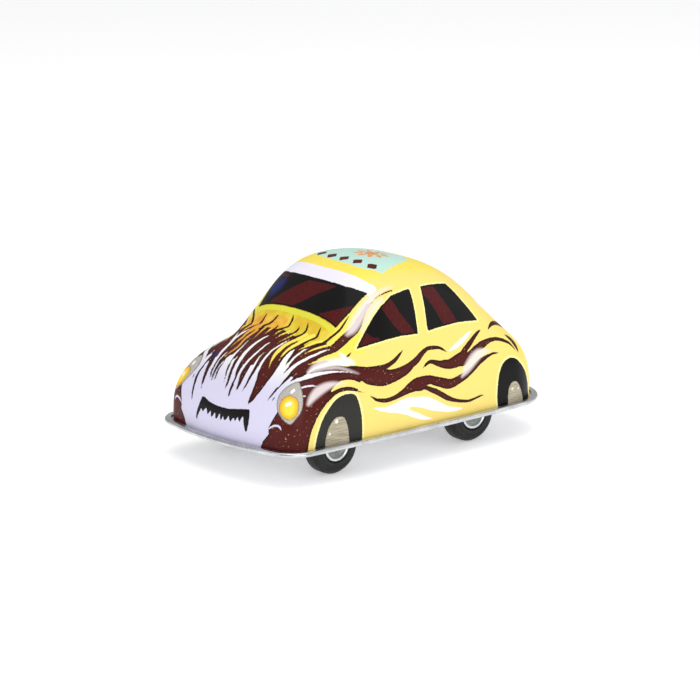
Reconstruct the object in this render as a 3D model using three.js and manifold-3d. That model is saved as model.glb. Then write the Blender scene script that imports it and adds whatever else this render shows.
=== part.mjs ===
// Wind-up tin toy car: one pressed and printed tin shell crimped onto a tin base plate, four small
// wheels that reach down through slots in that plate, and a clockwork motor that drives the rear axle.
//
// Frame, in millimetres: +X is the front, +Y the car's left, +Z up. The origin lies on the ground, below
// the centre of the whole toy's box. The key stands out on the right, so the car's own middle plane is
// at y = CAR_Y. Inside the car group, z = 0 is the underside of the crimped rim and y = 0 the middle.

import * as THREE from "three";
import { mergeVertices } from "three/addons/utils/BufferGeometryUtils.js";
import Module from "manifold-3d";

const wasm = await Module();
wasm.setup();

// ---------------------------------------------------------------- driving dimensions

const RIM_LENGTH = 105; // over the crimped rim
const RIM_WIDTH = 60.5;
const SHEET = 0.4; // tin plate
const SEAM_GAP = 0.1; // between the sheets inside the crimp
const BEAD_RADIUS = 0.7; // rolled edge of the crimp
const HEM_REACH = 1.9; // how far in the crimp grips the shell's flange
const FLANGE_INSET = 0.9; // edge of the shell's flange, in from the rim's edge
const WALL_INSET = 2.5; // foot of the shell's wall, in from the rim's edge

const WHEEL_RADIUS = 8.1;
const AXLE_DROP = 1.1; // axles lie this far below the rim's underside
const FRONT_AXLE_X = 26.7;
const REAR_AXLE_X = -24.6;
const WHEEL_OUTER_Y = 22.3;
const WHEEL_WIDTH = 5.3;
const AXLE_RADIUS = 0.8;

const MODULE = 0.5; // of all the gears
const GREAT_TEETH = 48;
const MIDDLE_TEETH = 36;
const PINION_TEETH = 10;
const GREAT_TO_MIDDLE_ANGLE = THREE.MathUtils.degToRad(25); // slope of the line between the arbors
const MIDDLE_TO_REAR_ANGLE = THREE.MathUtils.degToRad(60);

const MOTOR_INNER_Y = 7; // inner faces of the two motor plates
const MOTOR_PLATE = 0.8;
const ARBOR_RADIUS = 1.2;
const RUNNING_GAP = 0.1; // radial, between a turning shaft and its hole
const FIXED_GAP = 0.05; // radial, between a shaft and what is pressed onto it

const KEY_TIP_Y = -39.5; // outer edge of the key's wing, from the middle plane
const CAR_Y = -(KEY_TIP_Y + RIM_WIDTH / 2) / 2;
const RIM_Z = WHEEL_RADIUS + AXLE_DROP;

// ---------------------------------------------------------------- colours and finishes

const paint = (color, metalness, roughness) => new THREE.MeshStandardMaterial({ color, metalness, roughness });
const printedTin = paint(0xf5e36b, 0.15, 0.3);
const brightTin = paint(0xc9ccd1, 0.9, 0.35);
const blackRubber = paint(0x2a2b2a, 0, 0.75);
const steel = paint(0xa9acb0, 1, 0.35);
const brass = paint(0xc9a24b, 1, 0.35);
const springSteel = paint(0x4d5563, 1, 0.3);

// ---------------------------------------------------------------- solids and booleans

const toSolid = (geometry) => {
  const bare = new THREE.BufferGeometry();
  bare.setAttribute("position", geometry.getAttribute("position").clone());
  if (geometry.index) bare.setIndex(geometry.index.clone());
  const merged = mergeVertices(bare, 1e-4);
  return new wasm.Manifold(
    new wasm.Mesh({
      numProp: 3,
      vertProperties: merged.attributes.position.array,
      triVerts: new Uint32Array(merged.index.array),
    }),
  );
};

const toGeometry = (solid) => {
  const mesh = solid.getMesh();
  const geometry = new THREE.BufferGeometry();
  geometry.setAttribute("position", new THREE.BufferAttribute(mesh.vertProperties, 3));
  geometry.setIndex(new THREE.BufferAttribute(mesh.triVerts, 1));
  geometry.computeVertexNormals();
  return geometry;
};

const join = (first, ...others) => toGeometry(others.reduce((s, g) => s.add(toSolid(g)), toSolid(first)));
const cut = (first, ...tools) => toGeometry(tools.reduce((s, g) => s.subtract(toSolid(g)), toSolid(first)));

// A box given by its lowest and highest corner.
const boxBetween = (x0, y0, z0, x1, y1, z1) =>
  new THREE.BoxGeometry(x1 - x0, y1 - y0, z1 - z0).translate((x0 + x1) / 2, (y0 + y1) / 2, (z0 + z1) / 2);

// A flat shape, drawn with x across and z up, as a plate between two values of y.
const plate = (shape, yLow, yHigh, curveSegments = 12) =>
  new THREE.ExtrudeGeometry(shape, { depth: yHigh - yLow, bevelEnabled: false, curveSegments })
    .rotateX(Math.PI / 2)
    .translate(0, yHigh, 0);

const roundHole = (x, z, radius) => new THREE.Path().absarc(x, z, radius, 0, 2 * Math.PI, true);

// A rod along y.
const rod = (x, z, radius, yLow, yHigh, sides = 16) =>
  new THREE.CylinderGeometry(radius, radius, yHigh - yLow, sides).translate(x, (yLow + yHigh) / 2, z);

// A turned piece around the y axis, from a closed profile of [radius, y] points in counter-clockwise order.
const turned = (profile, segments) => {
  const points = [...profile, profile[0]].map(([radius, y]) => new THREE.Vector2(radius, y));
  return new THREE.LatheGeometry(points, segments);
};

// A closed skin through rings of points, all with the same count, with one point closing each end.
const loft = (firstPole, rings, lastPole) => {
  const count = rings[0].length;
  const positions = [...firstPole, ...rings.flat(2), ...lastPole];
  const last = positions.length / 3 - 1;
  const at = (ring, i) => 1 + ring * count + (i % count);
  const index = [];
  for (let i = 0; i < count; i++) {
    index.push(0, at(0, i), at(0, i + 1));
    for (let ring = 0; ring + 1 < rings.length; ring++) {
      index.push(at(ring, i), at(ring + 1, i), at(ring + 1, i + 1));
      index.push(at(ring, i), at(ring + 1, i + 1), at(ring, i + 1));
    }
    index.push(last, at(rings.length - 1, i + 1), at(rings.length - 1, i));
  }
  const geometry = new THREE.BufferGeometry();
  geometry.setAttribute("position", new THREE.Float32BufferAttribute(positions, 3));
  geometry.setIndex(index);
  return geometry;
};

// ---------------------------------------------------------------- plan outline of the rim

// Five tangent arcs on each side: bowed nose, front corner, bowed flank, rear corner and bowed tail.
const NOSE_RADIUS = 96;
const FRONT_CORNER_RADIUS = 9;
const FLANK_RADIUS = 860;
const REAR_CORNER_RADIUS = 16;
const TAIL_RADIUS = 122;
const noseCentre = new THREE.Vector2(RIM_LENGTH / 2 - NOSE_RADIUS, 0);
const tailCentre = new THREE.Vector2(TAIL_RADIUS - RIM_LENGTH / 2, 0);
const flankCentre = new THREE.Vector2(0, RIM_WIDTH / 2 - FLANK_RADIUS);

// Centre of the corner arc that touches the flank and an end arc; side is 1 in front and -1 behind.
const cornerCentre = (endCentre, endRadius, cornerRadius, side) => {
  const flankReach = FLANK_RADIUS - cornerRadius;
  const endReach = endRadius - cornerRadius;
  const apart = endCentre.clone().sub(flankCentre);
  const distance = apart.length();
  const along = (flankReach ** 2 - endReach ** 2 + distance ** 2) / (2 * distance);
  const across = Math.sqrt(flankReach ** 2 - along ** 2);
  const unit = apart.divideScalar(distance);
  return new THREE.Vector2(
    flankCentre.x + unit.x * along + side * unit.y * across,
    flankCentre.y + unit.y * along - side * unit.x * across,
  );
};

const frontCorner = cornerCentre(noseCentre, NOSE_RADIUS, FRONT_CORNER_RADIUS, 1);
const rearCorner = cornerCentre(tailCentre, TAIL_RADIUS, REAR_CORNER_RADIUS, -1);
const angleFrom = (from, to) => Math.atan2(to.y - from.y, to.x - from.x);
const noseEnd = angleFrom(noseCentre, frontCorner);
const flankStart = angleFrom(flankCentre, frontCorner);
const flankEnd = angleFrom(flankCentre, rearCorner);
const tailStart = angleFrom(tailCentre, rearCorner);

// The left half's points with their outward directions, from the nose's middle to the tail's middle.
const leftHalf = [
  [noseCentre, NOSE_RADIUS, 0, noseEnd, 4],
  [frontCorner, FRONT_CORNER_RADIUS, noseEnd, flankStart, 6],
  [flankCentre, FLANK_RADIUS, flankStart, flankEnd, 9],
  [rearCorner, REAR_CORNER_RADIUS, flankEnd, tailStart, 6],
  [tailCentre, TAIL_RADIUS, tailStart, Math.PI, 4],
].flatMap(([centre, radius, start, end, steps], arc) =>
  Array.from({ length: steps + (arc === 4 ? 1 : 0) }, (_, i) => {
    const angle = start + ((end - start) * i) / steps;
    const [nx, ny] = [Math.cos(angle), Math.sin(angle)];
    return { x: centre.x + radius * nx, y: centre.y + radius * ny, nx, ny };
  }),
);
const mirrored = leftHalf.slice(1, -1).reverse().map((p) => ({ ...p, y: -p.y, ny: -p.ny }));
const rimPoints = [...leftHalf, ...mirrored];

// The outline moved in by a distance, at a height.
const outline = (inset, z) => rimPoints.map((p) => [p.x - inset * p.nx, p.y - inset * p.ny, z]);

// ---------------------------------------------------------------- shape of the printed shell

// The shell is a blend of three pressed forms over the plan: the fenders and doors (a low tub), the
// cabin, and the bonnet. Heights are above the flange.
const TUB_HEIGHT = 23.3;
const TUB_POWER = 3.7;
const CABIN_HALF_WIDTH = 26.1;
const ROOF_HEIGHT = 44.5;
const ROOF_PEAK_X = 3.5;
const ROOF_RADIUS = 62;
const BONNET_HEIGHT = 25.3;
const BONNET_HALF_WIDTH = 18;

const clamp01 = (t) => Math.min(1, Math.max(0, t));
const ease = (from, to, x) => {
  const t = clamp01((x - from) / (to - from));
  return t * t * (3 - 2 * t);
};
// How high a superellipse of that power stands at a share of its half-width.
const arch = (share, power) => Math.max(1 - Math.abs(share) ** power, 0) ** (1 / power);

const shellHeight = (x, y, share) => {
  const tubTop = TUB_HEIGHT - 3.5 * ease(30, 48, x) + 1.5 * ease(-5, -28, x) - 3.5 * ease(-32, -50, x);
  const tub = tubTop * arch(share, TUB_POWER);
  const roof = ROOF_HEIGHT - (x - ROOF_PEAK_X) ** 2 / (2 * ROOF_RADIUS);
  const windscreen = Math.max(44.4 - 1.16 * (x - 11.2), 0.5);
  const rearWindow = Math.max(29.8 + 1.17 * (x + 32), 0.5);
  const profile = (roof ** -16 + windscreen ** -16 + rearWindow ** -16) ** (-1 / 16);
  const nearWall = Math.max(1 - share ** 14, 0) ** 0.25;
  const cabin = profile * arch(y / CABIN_HALF_WIDTH, 3) * nearWall;
  const forward = clamp01((x - 8) / 41);
  const bonnet = x > 8 ? BONNET_HEIGHT * arch(forward, 2.4) * arch(y / BONNET_HALF_WIDTH, 2.4) * nearWall : 0;
  return (tub ** 12 + cabin ** 12 + bonnet ** 12) ** (1 / 12);
};

const FLANGE_TOP = 2 * SHEET + SEAM_GAP;
const wallFoot = outline(WALL_INSET, 0);

const shellPoint = (i, share) => {
  const [x, y] = [wallFoot[i][0] * share, wallFoot[i][1] * share];
  return new THREE.Vector3(x, y, FLANGE_TOP + shellHeight(x, y, share));
};

// Outward direction of the shell's outer skin, by small steps along it and around it.
const shellNormal = (i, share) => {
  const count = wallFoot.length;
  const step = 0.004;
  const up = shellPoint(i, share - step).sub(shellPoint(i, Math.min(share + step, 1)));
  const around = shellPoint((i + 1) % count, share).sub(shellPoint((i + count - 1) % count, share));
  return around.cross(up).normalize();
};

// Shares of the plan's half-size at which the shell's rings lie, closer together near the upright wall.
const SHELL_RINGS = 12;
const ringShares = Array.from(
  { length: SHELL_RINGS },
  (_, i) => Math.cos(((i + 1) / (SHELL_RINGS + 1)) * (Math.PI / 2)) ** (2 / 3.6),
);

function bodyShell() {
  const outer = ringShares.map((share) => wallFoot.map((_, i) => shellPoint(i, share).toArray()));
  const inner = ringShares.map((share) =>
    wallFoot.map((_, i) => shellPoint(i, share).addScaledVector(shellNormal(i, share), -SHEET).toArray()),
  );
  const flangeUnder = SHEET + SEAM_GAP;
  const rings = [
    ...outer.reverse(),
    outline(WALL_INSET, FLANGE_TOP),
    outline(FLANGE_INSET, FLANGE_TOP),
    outline(FLANGE_INSET, flangeUnder),
    outline(WALL_INSET + SHEET, flangeUnder),
    ...inner,
  ];
  const crown = FLANGE_TOP + shellHeight(0, 0, 0);
  const skin = loft([0, 0, crown], rings, [0, 0, crown - SHEET]);
  const keyHole = rod(WINDING.x, WINDING.z, KEY_HOLE_RADIUS, -40, -15, 20);
  return cut(skin, keyHole);
}

// ---------------------------------------------------------------- gear train layout

const pitchRadius = (teeth) => (MODULE * teeth) / 2;
const stepFrom = (from, angle, distance) => ({
  x: from.x + Math.cos(angle) * distance,
  z: from.z + Math.sin(angle) * distance,
});
const REAR = { x: REAR_AXLE_X, z: -AXLE_DROP };
const MIDDLE = stepFrom(REAR, MIDDLE_TO_REAR_ANGLE, pitchRadius(MIDDLE_TEETH + PINION_TEETH));
const WINDING = stepFrom(MIDDLE, GREAT_TO_MIDDLE_ANGLE, pitchRadius(GREAT_TEETH + PINION_TEETH));
const KEY_HOLE_RADIUS = 2.5;

// Layers across the car, from the key's side to the left.
const RATCHET_Y = [-6.5, -5.8];
const GREAT_Y = [-5.5, -4.5];
const GREAT_PINION_Y = [-6.3, -3.9];
const SPRING_Y = [-3.5, 4.5];
const MIDDLE_Y = [5.2, 6.2];
const REAR_PINION_Y = [4.6, 6.7];

// ---------------------------------------------------------------- base plate

const SLOT_HALF_LENGTH = 9.3;
const SLOT_MARGIN = 1.2; // beside each tyre
const SLOT_INNER_Y = WHEEL_OUTER_Y - WHEEL_WIDTH - SLOT_MARGIN;
const AXLE_SLOT_HALF = 2.6; // half the length of the slot over the rear axle
const EAR_Y = 12.3; // inner face of the ears that carry the front axle
const EAR_THICK = 0.6;
const EAR_WIDTH = 6;
const EAR_DROP = 3.2;
const MOTOR_OPENING = { x0: -31.5, x1: -12.5, y: 8.7 };
const PANELS = [[37, 46.5], [-46, -36.5]]; // from and to in x: pressed flat panels, proud of the underside
const PANEL_HALF_WIDTH = 14;
const PANEL_PRESS = 0.3;
const TAB_XS = [-8, 5.5];
const TAB_WIDTH = 4;

function basePlate() {
  const hemUnder = FLANGE_TOP + SEAM_GAP;
  const hemTop = hemUnder + SHEET;
  const bead = (radius, from, to, steps) =>
    Array.from({ length: steps + 1 }, (_, i) => {
      const angle = from + ((to - from) * i) / steps;
      return outline(BEAD_RADIUS - radius * Math.cos(angle), hemTop / 2 + (radius * Math.sin(angle) * hemTop) / 1.4);
    });
  const quarter = Math.PI / 2;
  const inside = BEAD_RADIUS - SHEET;
  const floorRings = (shares, z) => shares.map((share) => outline(0, z).map(([x, y]) => [x * share, y * share, z]));
  const rings = [
    ...floorRings([0.7], SHEET),
    ...bead(inside, -quarter, quarter, 2),
    outline(HEM_REACH, hemUnder),
    outline(HEM_REACH, hemTop),
    ...bead(BEAD_RADIUS, quarter, -quarter, 4),
    ...floorRings([0.7], 0),
  ];
  const dish = loft([0, 0, SHEET], rings, [0, 0, 0]);
  const openings = [boxBetween(MOTOR_OPENING.x0, -MOTOR_OPENING.y, -1, MOTOR_OPENING.x1, MOTOR_OPENING.y, 0.9)];
  const added = [];
  const cutAfter = [];
  for (const [x0, x1] of PANELS) {
    const half = PANEL_HALF_WIDTH;
    added.push(boxBetween(x0, -half, -PANEL_PRESS, x1, half, SHEET / 2));
    const floor = SHEET - PANEL_PRESS;
    cutAfter.push(boxBetween(x0 + SHEET, SHEET - half, floor, x1 - SHEET, half - SHEET, SHEET + 0.5));
  }
  for (const side of [1, -1]) {
    const across = (y0, y1) => [Math.min(side * y0, side * y1), Math.max(side * y0, side * y1)];
    for (const x of [FRONT_AXLE_X, REAR_AXLE_X]) {
      const [y0, y1] = across(SLOT_INNER_Y, WHEEL_OUTER_Y + SLOT_MARGIN);
      openings.push(boxBetween(x - SLOT_HALF_LENGTH, y0, -1, x + SLOT_HALF_LENGTH, y1, 0.9));
    }
    for (const x of TAB_XS) {
      const [y0, y1] = across(MOTOR_INNER_Y - 0.3, MOTOR_INNER_Y + MOTOR_PLATE + 0.3);
      openings.push(boxBetween(x - TAB_WIDTH / 2 - 0.3, y0, -1, x + TAB_WIDTH / 2 + 0.3, y1, 0.9));
    }
    const half = EAR_WIDTH / 2;
    const [w0, w1] = across(EAR_Y + EAR_THICK, SLOT_INNER_Y + 0.1);
    openings.push(boxBetween(FRONT_AXLE_X - half, w0, -1, FRONT_AXLE_X + half, w1, 0.9));
    const [h0, h1] = across(MOTOR_OPENING.y - 0.1, SLOT_INNER_Y + 0.1);
    openings.push(boxBetween(REAR.x - AXLE_SLOT_HALF, h0, -1, REAR.x + AXLE_SLOT_HALF, h1, 0.9));
    const [e0, e1] = across(EAR_Y, EAR_Y + EAR_THICK);
    added.push(boxBetween(FRONT_AXLE_X - half, e0, -EAR_DROP, FRONT_AXLE_X + half, e1, SHEET / 2));
    cutAfter.push(rod(FRONT_AXLE_X, -AXLE_DROP, AXLE_RADIUS + RUNNING_GAP, e0 - 1, e1 + 1));
  }
  return cut(join(cut(dish, ...openings), ...added), ...cutAfter);
}

// ---------------------------------------------------------------- wheels

const HUB_RADIUS = 4.35;
const TYRE_BORE = 3.5;
const TYRE_FACE = WHEEL_OUTER_Y;
const TYRE_BACK = WHEEL_OUTER_Y - WHEEL_WIDTH;
const HUB_BOSS_END = 13.4; // inner end of the hub, beside the axle's bearing

// Profiles are drawn for a left wheel, with y counted from the car's middle.
const tyreProfile = [
  [TYRE_BORE, TYRE_BACK],
  [WHEEL_RADIUS - 1, TYRE_BACK],
  [WHEEL_RADIUS - 0.25, TYRE_BACK + 0.35],
  [WHEEL_RADIUS, TYRE_BACK + 1.1],
  [WHEEL_RADIUS, TYRE_FACE - 1.3],
  [WHEEL_RADIUS - 0.3, TYRE_FACE - 0.5],
  [WHEEL_RADIUS - 1.1, TYRE_FACE - 0.1],
  [HUB_RADIUS + 0.5, TYRE_FACE],
  [HUB_RADIUS + 0.1, TYRE_FACE - 0.9],
  [TYRE_BORE, TYRE_FACE - 0.9],
];
const hubBore = AXLE_RADIUS + FIXED_GAP;
const hubProfile = [
  [hubBore, HUB_BOSS_END],
  [1.8, HUB_BOSS_END],
  [1.8, TYRE_BACK - 0.9],
  [HUB_RADIUS - 0.2, TYRE_BACK - 0.9],
  [HUB_RADIUS - 0.2, TYRE_BACK - 0.15],
  [TYRE_BORE - 0.1, TYRE_BACK - 0.15],
  [TYRE_BORE - 0.1, TYRE_FACE - 0.75],
  [HUB_RADIUS, TYRE_FACE - 0.75],
  [HUB_RADIUS, TYRE_FACE - 0.1],
  [HUB_RADIUS - 0.35, TYRE_FACE + 0.15],
  [HUB_RADIUS - 0.75, TYRE_FACE - 0.1],
  [HUB_RADIUS - 0.95, TYRE_FACE - 0.6],
  [1.6, TYRE_FACE - 0.45],
  [hubBore, TYRE_FACE - 0.2],
];
const TYRE_SEGMENTS = 32;
const HUB_SEGMENTS = 18;

// ---------------------------------------------------------------- gears

const PRESSURE_ANGLE = THREE.MathUtils.degToRad(25);
const ADDENDUM = 0.8 * MODULE;
const DEDENDUM = 1.05 * MODULE;
const BACKLASH = 0.06; // taken off each tooth's thickness

const involute = (angle) => Math.tan(angle) - angle;

// Outline of an involute gear around the origin, with the middle of one tooth at the angle tooth.
const gearShape = (teeth, tooth, boreRadius) => {
  const pitch = pitchRadius(teeth);
  const base = pitch * Math.cos(PRESSURE_ANGLE);
  const tip = pitch + ADDENDUM;
  const root = pitch - DEDENDUM;
  const halfAtPitch = (Math.PI * MODULE - 2 * BACKLASH) / 2 / 2 / pitch;
  // Half of a tooth's angle at a radius on its flank.
  const halfAngle = (radius) =>
    halfAtPitch + involute(PRESSURE_ANGLE) - involute(Math.acos(Math.min(1, base / Math.max(radius, base))));
  const flank = base > root ? [root, base, pitch, tip] : [root, pitch, tip];
  const at = (radius, angle) => new THREE.Vector2(radius * Math.cos(angle), radius * Math.sin(angle));
  const points = [];
  for (let i = 0; i < teeth; i++) {
    const middle = tooth + (2 * Math.PI * i) / teeth;
    for (const radius of flank) points.push(at(radius, middle - halfAngle(radius)));
    for (const radius of [...flank].reverse()) points.push(at(radius, middle + halfAngle(radius)));
  }
  const shape = new THREE.Shape(points);
  shape.holes.push(roundHole(0, 0, boreRadius));
  return shape;
};

// The driven gear's tooth angle that puts a gap where its partner has a tooth, on the line between them.
const meshed = (teeth, lineAngle) => lineAngle + Math.PI + Math.PI / teeth;

const gear = (centre, teeth, tooth, boreRadius, [yLow, yHigh]) =>
  plate(gearShape(teeth, tooth, boreRadius), yLow, yHigh, 6).translate(centre.x, 0, centre.z);

const greatToMiddle = GREAT_TO_MIDDLE_ANGLE + Math.PI;
const middleToRear = MIDDLE_TO_REAR_ANGLE + Math.PI;
const MIDDLE_ARBOR_RADIUS = 0.9;

// The middle arbor's bearing hole and the great wheel's bore turn on plain pins.
const greatGear = () => gear(WINDING, GREAT_TEETH, greatToMiddle, ARBOR_RADIUS + RUNNING_GAP, GREAT_Y);
const middlePinion = () =>
  gear(MIDDLE, PINION_TEETH, meshed(PINION_TEETH, greatToMiddle), MIDDLE_ARBOR_RADIUS + FIXED_GAP, GREAT_PINION_Y);
const middleGear = () => gear(MIDDLE, MIDDLE_TEETH, middleToRear, MIDDLE_ARBOR_RADIUS + FIXED_GAP, MIDDLE_Y);
const rearPinion = () =>
  gear(REAR, PINION_TEETH, meshed(PINION_TEETH, middleToRear), AXLE_RADIUS + FIXED_GAP, REAR_PINION_Y);

// ---------------------------------------------------------------- ratchet and click

const RATCHET_TEETH = 12;
const RATCHET_TIP = 4.2;
const RATCHET_ROOT = 3.3;
const CLICK_PIVOT_REACH = 7.3; // from the winding arbor
const CLICK_PIVOT_ANGLE = THREE.MathUtils.degToRad(140);
const CLICK_SPAN = THREE.MathUtils.degToRad(42); // from the pivot on to the nose, round the arbor
const RIVET_RADIUS = 0.6;

function ratchetWheel() {
  const points = [];
  for (let i = 0; i < RATCHET_TEETH; i++) {
    const start = (2 * Math.PI * i) / RATCHET_TEETH;
    for (const [radius, lead] of [
      [RATCHET_TIP, 0.02],
      [RATCHET_TIP - 0.25, 0.22],
      [RATCHET_ROOT, 0.5],
    ])
      points.push(new THREE.Vector2(radius * Math.cos(start + lead), radius * Math.sin(start + lead)));
  }
  const shape = new THREE.Shape(points);
  shape.holes.push(roundHole(0, 0, ARBOR_RADIUS + FIXED_GAP));
  return plate(shape, ...RATCHET_Y, 6).translate(WINDING.x, 0, WINDING.z);
}

const CLICK_PIVOT = stepFrom(WINDING, CLICK_PIVOT_ANGLE, CLICK_PIVOT_REACH);

// A lever from its pivot to a nose that rides just clear of the ratchet's tips.
function click() {
  const eye = 1.35;
  const nose = stepFrom(WINDING, CLICK_PIVOT_ANGLE + CLICK_SPAN, RATCHET_TIP + 0.15);
  const heel = stepFrom(WINDING, CLICK_PIVOT_ANGLE + CLICK_SPAN, RATCHET_TIP + 1.3);
  const toNose = Math.atan2(nose.z - CLICK_PIVOT.z, nose.x - CLICK_PIVOT.x);
  const shape = new THREE.Shape();
  shape.absarc(CLICK_PIVOT.x, CLICK_PIVOT.z, eye, toNose + 1.1, toNose + 2 * Math.PI - 1.1, false);
  shape.lineTo(heel.x, heel.z);
  shape.lineTo(nose.x, nose.z);
  shape.closePath();
  shape.holes.push(roundHole(CLICK_PIVOT.x, CLICK_PIVOT.z, RIVET_RADIUS + RUNNING_GAP));
  return plate(shape, RATCHET_Y[0], RATCHET_Y[1], 8);
}

// ---------------------------------------------------------------- strips of spring steel

// A strip of even thickness along a line of [x, z] points, between two values of y.
const strip = (line, thickness, [yLow, yHigh]) => {
  const sides = line.map(([x, z], i) => {
    const [ax, az] = line[Math.max(i - 1, 0)];
    const [bx, bz] = line[Math.min(i + 1, line.length - 1)];
    const length = Math.hypot(bx - ax, bz - az);
    const [nx, nz] = [(-(bz - az) / length) * (thickness / 2), ((bx - ax) / length) * (thickness / 2)];
    return [new THREE.Vector2(x + nx, z + nz), new THREE.Vector2(x - nx, z - nz)];
  });
  const shape = new THREE.Shape([...sides.map((s) => s[0]), ...sides.map((s) => s[1]).reverse()]);
  return plate(shape, yLow, yHigh, 4);
};

const arcPoints = (x, z, radius, from, to, steps) =>
  Array.from({ length: steps + 1 }, (_, i) => {
    const angle = from + ((to - from) * i) / steps;
    return [x + radius * Math.cos(angle), z + radius * Math.sin(angle)];
  });

const SPRING_TURNS = 5;
const SPRING_THICK = 0.35;
const PILLAR_RADIUS = 1.2;
const PILLARS = [
  ["motor_pillar_front_top", 8.6, 22],
  ["motor_pillar_front_bottom", 8.6, 4.2],
  ["motor_pillar_rear_top", -21, 24],
  ["motor_pillar_rear_bottom", -33.5, 5.2],
];

// The let-down mainspring: from the arbor outwards, then over to a hook round the front top pillar.
function mainspring() {
  const [, hookX, hookZ] = PILLARS[0];
  const hookRadius = PILLAR_RADIUS + SPRING_THICK / 2 + 0.15;
  const outward = Math.atan2(hookZ - WINDING.z, hookX - WINDING.x);
  const stepsPerTurn = 16;
  const count = SPRING_TURNS * stepsPerTurn;
  const coil = Array.from({ length: count + 1 }, (_, i) => {
    const turn = i / count;
    const radius = ARBOR_RADIUS + 0.3 + SPRING_THICK / 2 + 8.6 * turn ** 0.85;
    const angle = outward - 1.25 - 2 * Math.PI * SPRING_TURNS * (1 - turn);
    return [WINDING.x + radius * Math.cos(angle), WINDING.z + radius * Math.sin(angle)];
  });
  const hook = arcPoints(hookX, hookZ, hookRadius, outward - 1.3, outward + 2.2, 8);
  return strip([...coil, ...hook], SPRING_THICK, SPRING_Y);
}

// A leaf fixed on the great wheel that reaches round the click's eye to press its back.
function clickSpring() {
  const reach = CLICK_PIVOT_REACH + 1.9;
  const leaf = arcPoints(WINDING.x, WINDING.z, reach, CLICK_PIVOT_ANGLE - 0.75, CLICK_PIVOT_ANGLE + 0.11, 8);
  const tip = stepFrom(WINDING, CLICK_PIVOT_ANGLE + 0.62 * CLICK_SPAN, RATCHET_TIP + 2.8);
  return strip([...leaf, [tip.x, tip.z]], 0.25, RATCHET_Y);
}

// ---------------------------------------------------------------- motor frame

const TAB_DROP = 1.1; // how far the bent tabs reach below the base plate

// A motor plate's outline, drawn with x across and z up: a low-backed frame with a foot round the axle.
function motorPlate(side) {
  const footRadius = 2.7;
  const shape = new THREE.Shape();
  shape.moveTo(-36, 3.4);
  shape.lineTo(REAR.x - footRadius - 2, 1);
  shape.absarc(REAR.x, REAR.z, footRadius, Math.PI, 2 * Math.PI, false);
  shape.lineTo(REAR.x + footRadius + 2, 1);
  shape.lineTo(11.2, 1);
  shape.absarc(8.6, 22, 2.6, 0, Math.PI / 2, false);
  shape.absarc(-21, 24, 2.6, Math.PI / 2, 2.6, false);
  shape.lineTo(-36, 7.5);
  shape.closePath();
  const hole = (centre, radius) => shape.holes.push(roundHole(centre.x, centre.z, radius));
  hole(REAR, AXLE_RADIUS + RUNNING_GAP);
  hole(MIDDLE, MIDDLE_ARBOR_RADIUS + RUNNING_GAP);
  hole(WINDING, ARBOR_RADIUS + RUNNING_GAP);
  for (const [, x, z] of PILLARS) shape.holes.push(roundHole(x, z, PILLAR_RADIUS * 0.6 + FIXED_GAP));
  const inner = side * MOTOR_INNER_Y;
  const outer = side * (MOTOR_INNER_Y + MOTOR_PLATE);
  const [low, high] = [Math.min(inner, outer), Math.max(inner, outer)];
  const tabs = TAB_XS.flatMap((x) => {
    const bentTo = side * (MOTOR_INNER_Y + MOTOR_PLATE + 1.8);
    const [x0, x1] = [x - TAB_WIDTH / 2, x + TAB_WIDTH / 2];
    return [
      boxBetween(x0, low, -TAB_DROP, x1, high, 1.5),
      boxBetween(x0, Math.min(inner, bentTo), -TAB_DROP, x1, Math.max(inner, bentTo), -0.3),
    ];
  });
  return join(plate(shape, low, high, 6), ...tabs);
}

// A pillar with a shoulder inside each plate and a thinner end riveted through it.
function pillar(x, z) {
  const reach = MOTOR_INNER_Y + MOTOR_PLATE + 0.4;
  const shoulder = MOTOR_INNER_Y - 0.05;
  return join(
    rod(x, z, PILLAR_RADIUS, -shoulder, shoulder, 14),
    rod(x, z, PILLAR_RADIUS * 0.6, -reach, reach, 14),
  );
}

// ---------------------------------------------------------------- key

const STEM_RADIUS = 2;
const STEM_INNER_Y = -21.5;
const STEM_TIP_Y = -32.6;
const WING_THICK = 0.9;
const WING_ROOT_Y = -29.3;

// A tube that grips the arbor's end, slotted at its tip for the wing.
function keyStem() {
  const slot = WING_THICK / 2 + 0.1;
  const tube = turned(
    [
      [ARBOR_RADIUS + FIXED_GAP, STEM_TIP_Y],
      [STEM_RADIUS - 0.25, STEM_TIP_Y],
      [STEM_RADIUS, STEM_TIP_Y + 0.25],
      [STEM_RADIUS, STEM_INNER_Y],
      [ARBOR_RADIUS + FIXED_GAP, STEM_INNER_Y],
    ],
    20,
  ).translate(WINDING.x, 0, WINDING.z);
  const slotBox = boxBetween(
    WINDING.x - 3, STEM_TIP_Y - 1, WINDING.z - slot, WINDING.x + 3, WING_ROOT_Y + 0.15, WINDING.z + slot,
  );
  return cut(tube, slotBox);
}

// A flat butterfly wing, lying level at rest: two round lobes with a hole each, and a waist in the slot.
function keyWing() {
  const lobeX = 5.2;
  const lobeRadius = 4.4;
  const lobeY = KEY_TIP_Y + lobeRadius;
  const shape = new THREE.Shape();
  shape.moveTo(-1.7, WING_ROOT_Y);
  shape.absarc(-lobeX, lobeY, lobeRadius, Math.PI - 2.3, Math.PI + 2.4, false);
  const waist = [lobeX + lobeRadius * Math.cos(2.4), lobeY - lobeRadius * Math.sin(2.4)];
  shape.quadraticCurveTo(0, lobeY - 1.6, ...waist);
  shape.absarc(lobeX, lobeY, lobeRadius, -2.4, 2.3, false);
  shape.lineTo(1.7, WING_ROOT_Y);
  shape.closePath();
  for (const side of [1, -1]) shape.holes.push(roundHole(side * lobeX, lobeY, 1.9));
  const depth = { depth: WING_THICK, bevelEnabled: false, curveSegments: 14 };
  return new THREE.ExtrudeGeometry(shape, depth).translate(WINDING.x, 0, WINDING.z - WING_THICK / 2);
}

const ARBOR_TIP_Y = -28.9;

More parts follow.
